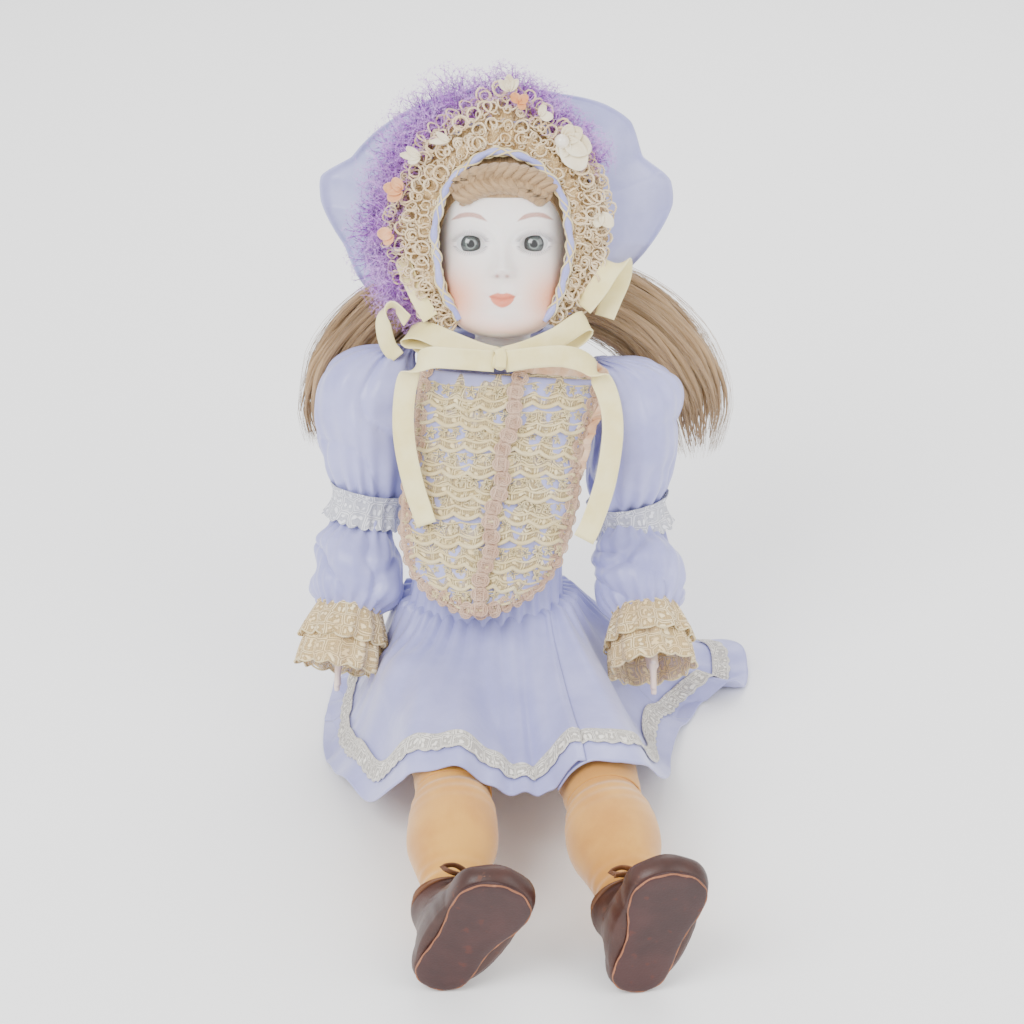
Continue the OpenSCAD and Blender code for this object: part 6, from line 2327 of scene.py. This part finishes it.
    def build(self) -> None:
        """Build the skirt, its lace and the petticoat."""
        grid = self.sheet_grid()
        hem = grid[-1]
        first = int(np.argmax(hem[:, 1] < 0))
        pleat = int(np.argmax(hem[:, 0] > 58))
        last = pleat + int(np.argmax(hem[pleat:, 1] > 2))
        right, left = grid[:, first:pleat + 1].copy(), grid[:, pleat - 12:last + 1].copy()
        back = np.concatenate([grid[:, last:], grid[:, :first + 1]], 1)
        near = smooth((np.arange(right.shape[1]) - right.shape[1] + 26) / 26)
        near = near * (1 - 0.85 * smooth((np.arange(right.shape[1]) - right.shape[1] + 7) / 6))
        right[..., 2] += 4.5 * near * smooth(np.linspace(0, 1, self.rows + 1)[:, None] / 0.4)
        right[..., 0] += 3.0 * near**3
        left[..., 2] -= 2.5 * smooth((16 - np.arange(left.shape[1])) / 10)
        self.piece("Skirt_back", back, None, "skirt_back")
        self.piece("Skirt_front_right", right, "thigh_right", "skirt_lap_right")
        self.piece("Skirt_front_left", left, "thigh_left", "skirt_lap_left")
        self.trim("Hem_lace_back", back, None)
        self.trim("Hem_lace_right", right, "thigh_right")
        self.trim("Hem_lace_left", left, "thigh_left")
        self.petticoat()


# ------------------------------------------------------------------ legs, shoes and hands


@dataclass
class Leg:
    """One stockinged leg with its strapped leather shoe, in the shin's frame."""

    wardrobe: Wardrobe
    side: Side
    sole_z: float = 135.0
    sole_outline: tuple = ((-24, 0.3), (-23, 6), (-19.5, 11), (-13, 14.4), (-3, 15.4), (10, 15.4), (22, 16.6),
                           (34, 19.2), (44, 20.0), (52, 18.2), (58, 12.8), (61.2, 6.5), (62, 0.3))

    def __post_init__(self) -> None:
        """Find the shin's frame."""
        self.place = shin_place(self.side)
        self.body = f"shin_{self.side.value}"
        self.tag = self.side.value

    def outline(self, inset: float, count: int = 120) -> Array:
        """Outline of the sole, inset by some distance, once round from the heel."""
        rows = np.array(self.sole_outline, float)
        half = rows.copy()
        right = np.stack([half[:, 1] * (1 - 0.10 * bell((half[:, 0] - 12) / 12)), half[:, 0]], 1)
        left = np.stack([-half[::-1, 1], half[::-1, 0]], 1)
        if self.side is Side.LEFT:
            right[:, 0], left[:, 0] = half[:, 1], -(half[::-1, 1] * (1 - 0.10 * bell((half[::-1, 0] - 12) / 12)))
        line = spline(np.concatenate([right, left]), count, closed=True)
        t = tangents(line, True)
        return line - np.stack([t[:, 1], -t[:, 0]], 1) * inset

    def stocking(self) -> None:
        """Build the knitted stocking."""
        rows, cols = 120, 120
        line = spline([(3, 18.0), (12, 19.5), (22, 20.5), (32, 23.4), (44, 25.0), (56, 24.4), (68, 21.2), (80, 17.4),
                       (90, 15.4), (100, 15.0), (108, 15.4)], rows)
        a = np.arange(cols) * 2 * math.pi / cols
        z = line[:, :1]
        wrinkle = (0.55 * np.sin(z * 0.95 + 1.6 * np.sin(a) + 0.8 * np.sin(2 * a)) * bell((z - 92) / 9)
                   + 0.45 * np.sin(z * 0.8 + 2.0 * np.cos(a)) * bell((z - 22) / 10)
                   + 0.6 * wander((rows, cols), (8, 7), 200 + len(self.tag), True))
        calf = 1.2 * bell((z - 46) / 18) * (np.sin(a) < 0) * np.abs(np.sin(a))
        radius = line[:, 1:] + wrinkle + calf
        grid = np.stack([radius * np.cos(a), radius * np.sin(a), z + 0 * a], -1)
        parts = MeshParts(f"Stocking_{self.tag}", self.place)
        parts.add_surface(Surface(grid, wrap_u=True), 0.6, flip=False)
        obj = settle(parts.build(self.wardrobe.knit), self.body, "stocking_knit", f"stocking_{self.tag}")

    def upper(self) -> None:
        """Build the leather upper, its bound opening and the back seam."""
        base = self.outline(0.0)
        count = len(base)
        z = self.sole_z
        stations = [(z - 3.2, 19, 12.0, 36.0, 0.93), (z - 3.5, 19, 19.3, 41.8, 0.985),
                    (z - 4.4, 19, 19.8, 42.1, 1.0), (z - 7, 19, 20.4, 42.3, 1.03), (z - 12, 19, 20.7, 42.7, 1.02),
                    (z - 16, 17, 20.0, 39.8, 0.93), (z - 20, 14, 18.9, 36.0, 0.78), (z - 27, 5, 17.2, 26.4, 0.5),
                    (z - 33, -0.5, 17.5, 22.4, 0.3), (z - 37, -3, 18.8, 20.9, 0.2), (z - 39.5, -3, 19.0, 21.1, 0.2)]
        line = spline(stations, 44)
        turn = np.linspace(-math.pi, math.pi, count, endpoint=False)
        around = np.arctan2(base[:, 0], base[:, 1] - 19.0)
        order = np.argsort(around)
        reach = np.interp(turn, around[order], np.hypot(base[:, 0], base[:, 1] - 19.0)[order], period=2 * math.pi)
        wrinkle = wander((44, count), (5, 12), 210 + len(self.tag), True)
        share = np.linspace(0, 1, 44)[:, None]
        across, along = line[:, 2:3] + 0.3, line[:, 3:4] + 0.3
        oval = across * along / np.sqrt(np.square(along * np.sin(turn)) + np.square(across * np.cos(turn)))
        radius = np.maximum(oval, reach[None] * line[:, 4:5]) + 0.5 * wrinkle
        radius = radius + 0.6 * np.sin(14 * turn + 9 * share) * bell(turn / 1.0) * bell((share - 0.45) / 0.2)
        x, y = radius * np.sin(turn), line[:, 1:2] + radius * np.cos(turn)
        grid = np.stack([x, y, line[:, :1] + 0.4 * wrinkle], -1)
        parts = MeshParts(f"Shoe_upper_{self.tag}", self.place)
        parts.add_surface(Surface(grid, wrap_u=True), 1.2, flip=True)
        parts.add_tube(grid[-1], 0.95, 8, (0, 0, 1), closed=True)
        settle(parts.build(self.wardrobe.leather), self.body, "shoe_leather", f"shoe_upper_{self.tag}")
        self.top_edge = grid[-1]
        seam = MeshParts(f"Shoe_seams_{self.tag}", self.place)
        seam.add_tube(spline(grid[::3, 0] + [0, -0.4, 0], 30), 0.55, 6, (1, 0, 0))
        vamp = grid[24, :].copy()
        front = vamp[(vamp[:, 1] > 4)]
        front = front[np.argsort(np.arctan2(front[:, 0], front[:, 1]))]
        seam.add_tube(spline(front[::3] + [0, 0.5, -0.4], 60), 0.45, 6, (0, 0, 1))
        settle(seam.build(self.wardrobe.leather), self.body, "shoe_leather")

    def sole(self) -> None:
        """Build the sole with its cut edge, and the stitches beside it."""
        z = self.sole_z
        rings = [(17.0, z - 3.7), (6.0, z - 3.8), (0.6, z - 4.0), (0.05, z - 3.5), (0.0, z - 1.2), (0.5, z - 0.35),
                 (1.6, z - 0.05), (5.0, z), (10.0, z), (14.4, z), (17.04, z)]
        base = self.outline(0.0)
        centre = np.array([0.0, 19.0])
        grid = []
        for inset, level in rings:
            if inset < 6:
                flat = self.outline(inset)
            else:
                flat = centre + (base - centre) * (1 - inset / 17.05)
            grid.append(np.column_stack([flat, np.full(len(flat), level)]))
        parts = MeshParts(f"Shoe_sole_{self.tag}", self.place)
        parts.add_surface(Surface(np.array(grid), wrap_u=True))
        settle(parts.build(self.wardrobe.sole), self.body, "sole_leather", f"shoe_sole_{self.tag}")
        edge = self.outline(0.35)
        wobble = 0.25 * np.sin(np.arange(len(edge)) * 0.9)
        rim = MeshParts(f"Sole_edge_{self.tag}", self.place)
        rim.add_tube(np.column_stack([edge, z - 0.9 + wobble]), 0.55, 6, (0, 0, 1), closed=True)
        settle(rim.build(self.wardrobe.edge), self.body, "sole_leather")
        line = np.column_stack([self.outline(-0.9, 160), np.full(160, z - 5.6)])
        facing = np.column_stack([unit(self.outline(-1.0, 160) - self.outline(1.0, 160)), np.zeros(160)])
        stitch = tube_motif("Stitch", [[(-0.9, 0, 0), (0, 0, 0.25), (0.9, 0, 0)]], [0.26])
        obj = REPEAT.run(f"Sole_stitches_{self.tag}", self.place, [line], [facing], stitch, 2.6, self.wardrobe.edge,
                         (0.95, 1.05), (0, 0, 8), 220)
        settle(obj, self.body, "sole_leather")

    def strap(self, parts: MeshParts, path: Sequence, wide: float = 1.9, thick: float = 0.75) -> None:
        """Add a length of flat leather lace along control points."""
        line = spline(path, 46)
        parts.add_tube(line, np.tile([wide, thick], (46, 1)), 8, (0, 0, 1))

    def tie(self) -> None:
        """Build the leather lace: twice round the ankle, knotted in front, with a bow."""
        parts = MeshParts(f"Shoe_tie_{self.tag}", self.place)
        z = self.sole_z
        a = np.linspace(0, 2 * math.pi, 90, endpoint=False)
        for level, radius, drop in ((z - 41.5, 19.2, 1.5), (z - 38.4, 19.8, -1.5)):
            loop = np.stack([radius * np.cos(a), radius * np.sin(a) - 1.0, level + drop * np.sin(a)], 1)
            parts.add_tube(loop, np.tile([1.7, 0.8], (90, 1)), 8, (0, 0, 1), closed=True)
        knot = np.array([0.0, 19.8, z - 40])
        s = self.side.sign
        self.strap(parts, [knot, knot + [5, 3.0, -2], knot + [11, 3.4, -3], knot + [16.5, 1.5, -1],
                           knot + [12, 2.4, 1.5], knot + [5, 2.2, 1], knot])
        self.strap(parts, [knot, knot + [-5, 3.0, -2], knot + [-11, 3.4, -3], knot + [-16.5, 1.5, -1],
                           knot + [-12, 2.4, 1.5], knot + [-5, 2.2, 1], knot])
        self.strap(parts, [knot, knot + [4 * s, 5, 2], knot + [9 * s, 7, 6], knot + [12 * s, 9, 11]])
        self.strap(parts, [knot, knot + [-4 * s, 5, 2], knot + [-10 * s, 6, 4], knot + [-17 * s, 6, 6]])
        t = np.linspace(0, 1, 14)
        parts.add_tube(knot + np.stack([-3.4 + 6.8 * t, 2.2 + 0 * t, 0.5 * np.sin(6 * t)], 1),
                       np.stack([2.9 * np.sin(math.pi * (0.1 + 0.8 * t)),
                                 2.6 * np.sin(math.pi * (0.1 + 0.8 * t))], 1), 12)
        settle(parts.build(self.wardrobe.tie), self.body, "lace_leather", f"shoe_tie_{self.tag}")

    def stocking_top(self) -> None:
        """Build the part of the stocking that goes over the knee."""
        knee = joint_pos(f"knee_bend_{self.tag}") / MM
        thigh, shin = unit(joint_pos(f"hip_swing_{self.tag}") / MM - knee), self.place.axes[2]
        line = spline([knee + thigh * 30, knee + thigh * 20, knee + thigh * 9, knee + (thigh + shin) * 1.0,
                       knee + shin * 10, knee + shin * 19], 50)
        radii = spline([(23.4,), (23.4,), (23.0,), (22.2,), (21.2,), (20.6,)], 50)[:, 0]
        along = tangents(line)
        side = unit(np.cross(along, [0, 0, 1]))
        up = np.cross(side, along)
        a = np.arange(90) * 2 * math.pi / 90
        radius = radii[:, None] + 0.5 * wander((50, 90), (7, 6), 230 + len(self.tag), True)
        grid = line[:, None] + radius[..., None] * (np.cos(a)[None, :, None] * side[:, None]
                                                    + np.sin(a)[None, :, None] * up[:, None])
        grid[..., 2] = np.maximum(grid[..., 2], 1.2)
        parts = MeshParts(f"Stocking_top_{self.tag}", WORLD)
        parts.add_surface(Surface(grid, wrap_u=True), 0.6)
        obj = parts.build(self.wardrobe.knit)
        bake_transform(obj)
        dress(obj, "stocking_knit")
        lay(obj, parts, 0.14, "stretched", f"thigh_{self.tag}")

    def build(self) -> None:
        """Build the stocking and the shoe."""
        self.stocking()
        self.stocking_top()
        self.upper()
        self.sole()
        self.tie()


@dataclass
class Hand:
    """One painted hand: palm, four fingers and a thumb, joined and smoothed."""

    wardrobe: Wardrobe
    side: Side
    voxel: float = 0.75

    def build(self) -> None:
        """Build the hand from overlapping forms."""
        tag = self.side.value
        place = hand_place(self.side)
        parts = MeshParts(f"Hand_{tag}", place)
        t = np.linspace(0, 1, 16)
        palm = np.stack([0 * t, 0.6 * np.sin(3 * t), -2 - 22 * t], 1)
        size = np.stack([4.6 + 4.6 * smooth(t / 0.6) - 1.2 * smooth((t - 0.8) / 0.2),
                         4.6 - 0.9 * smooth(t)], 1)
        parts.add_tube(palm, size, 18, (1, 0, 0))
        for k, (offset, length) in enumerate(((-6.4, 17.0), (-2.2, 19.6), (2.2, 19.0), (6.2, 15.6))):
            bend = 1.6 + 0.3 * k
            finger = np.stack([bend * t**2 * self.side.sign * -1, offset + 0.10 * offset * t, -21 - length * t], 1)
            parts.add_tube(finger, 2.35 - 0.75 * t + 0.12 * np.sin(9 * t), 12, (1, 0, 0))
        thumb = np.stack([1.0 + 0 * t, -6 - 8.5 * t + 2 * t**2, -9 - 14 * t], 1)
        parts.add_tube(thumb, 2.9 - 0.9 * t, 12, (1, 0, 0))
        parts.add_tube(np.stack([0 * t, 0 * t, 7.6 - 15.2 * t], 1),
                       7.7 * np.sin(math.pi * (0.02 + 0.96 * t)) + 0.2, 18, (1, 0, 0))
        rough = parts.build()
        remesh = rough.modifiers.new("Join", "REMESH")
        remesh.mode, remesh.voxel_size = "VOXEL", self.voxel * MM
        blur = rough.modifiers.new("Soften", "SMOOTH")
        blur.factor, blur.iterations = 0.6, 6
        depsgraph = bpy.context.evaluated_depsgraph_get()
        mesh = bpy.data.meshes.new_from_object(rough.evaluated_get(depsgraph))
        rough.modifiers.clear()
        rough.data = mesh
        mesh.materials.clear()
        mesh.materials.append(self.wardrobe.hand)
        mesh.shade_smooth()
        settle(rough, f"hand_{tag}", "hand_paint", f"hand_{tag}")


def finish_solids(wardrobe: Wardrobe) -> None:
    """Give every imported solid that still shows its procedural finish."""
    finishes = {"torso_shell": wardrobe.composition, "arm_elastic": wardrobe.elastic, "leg_elastic": wardrobe.elastic,
                "neck_hook": wardrobe.steel, "neck_button": wardrobe.beech, "eye_setting": wardrobe.plaster,
                "pate": wardrobe.card, "shoulder_ball": wardrobe.beech, "upper_arm": wardrobe.composition,
                "forearm": wardrobe.composition, "thigh": wardrobe.composition, "shin": wardrobe.composition}
    for name, obj in frame["nodes"].items():
        key = name.removesuffix("_right").removesuffix("_left")
        if key in finishes:
            obj.data.materials.clear()
            obj.data.materials.append(finishes[key])
            LOG.info("%s: solid keeps its shape", name)


def main() -> None:
    """Build the studio and the doll."""
    logging.basicConfig(level=logging.INFO, format="%(name)s: %(message)s")
    Studio().build()
    wardrobe = Wardrobe()
    face = Face(wardrobe)
    face.build()
    Wig(wardrobe, face).build()
    Bonnet(wardrobe).build()
    Ribbons(wardrobe).build()
    Bodice(wardrobe).build()
    Skirt(wardrobe).build()
    for side in Side:
        Sleeve(wardrobe, side).build()
        Leg(wardrobe, side).build()
        Hand(wardrobe, side).build()
    finish_solids(wardrobe)


if __name__ == "__main__":
    main()
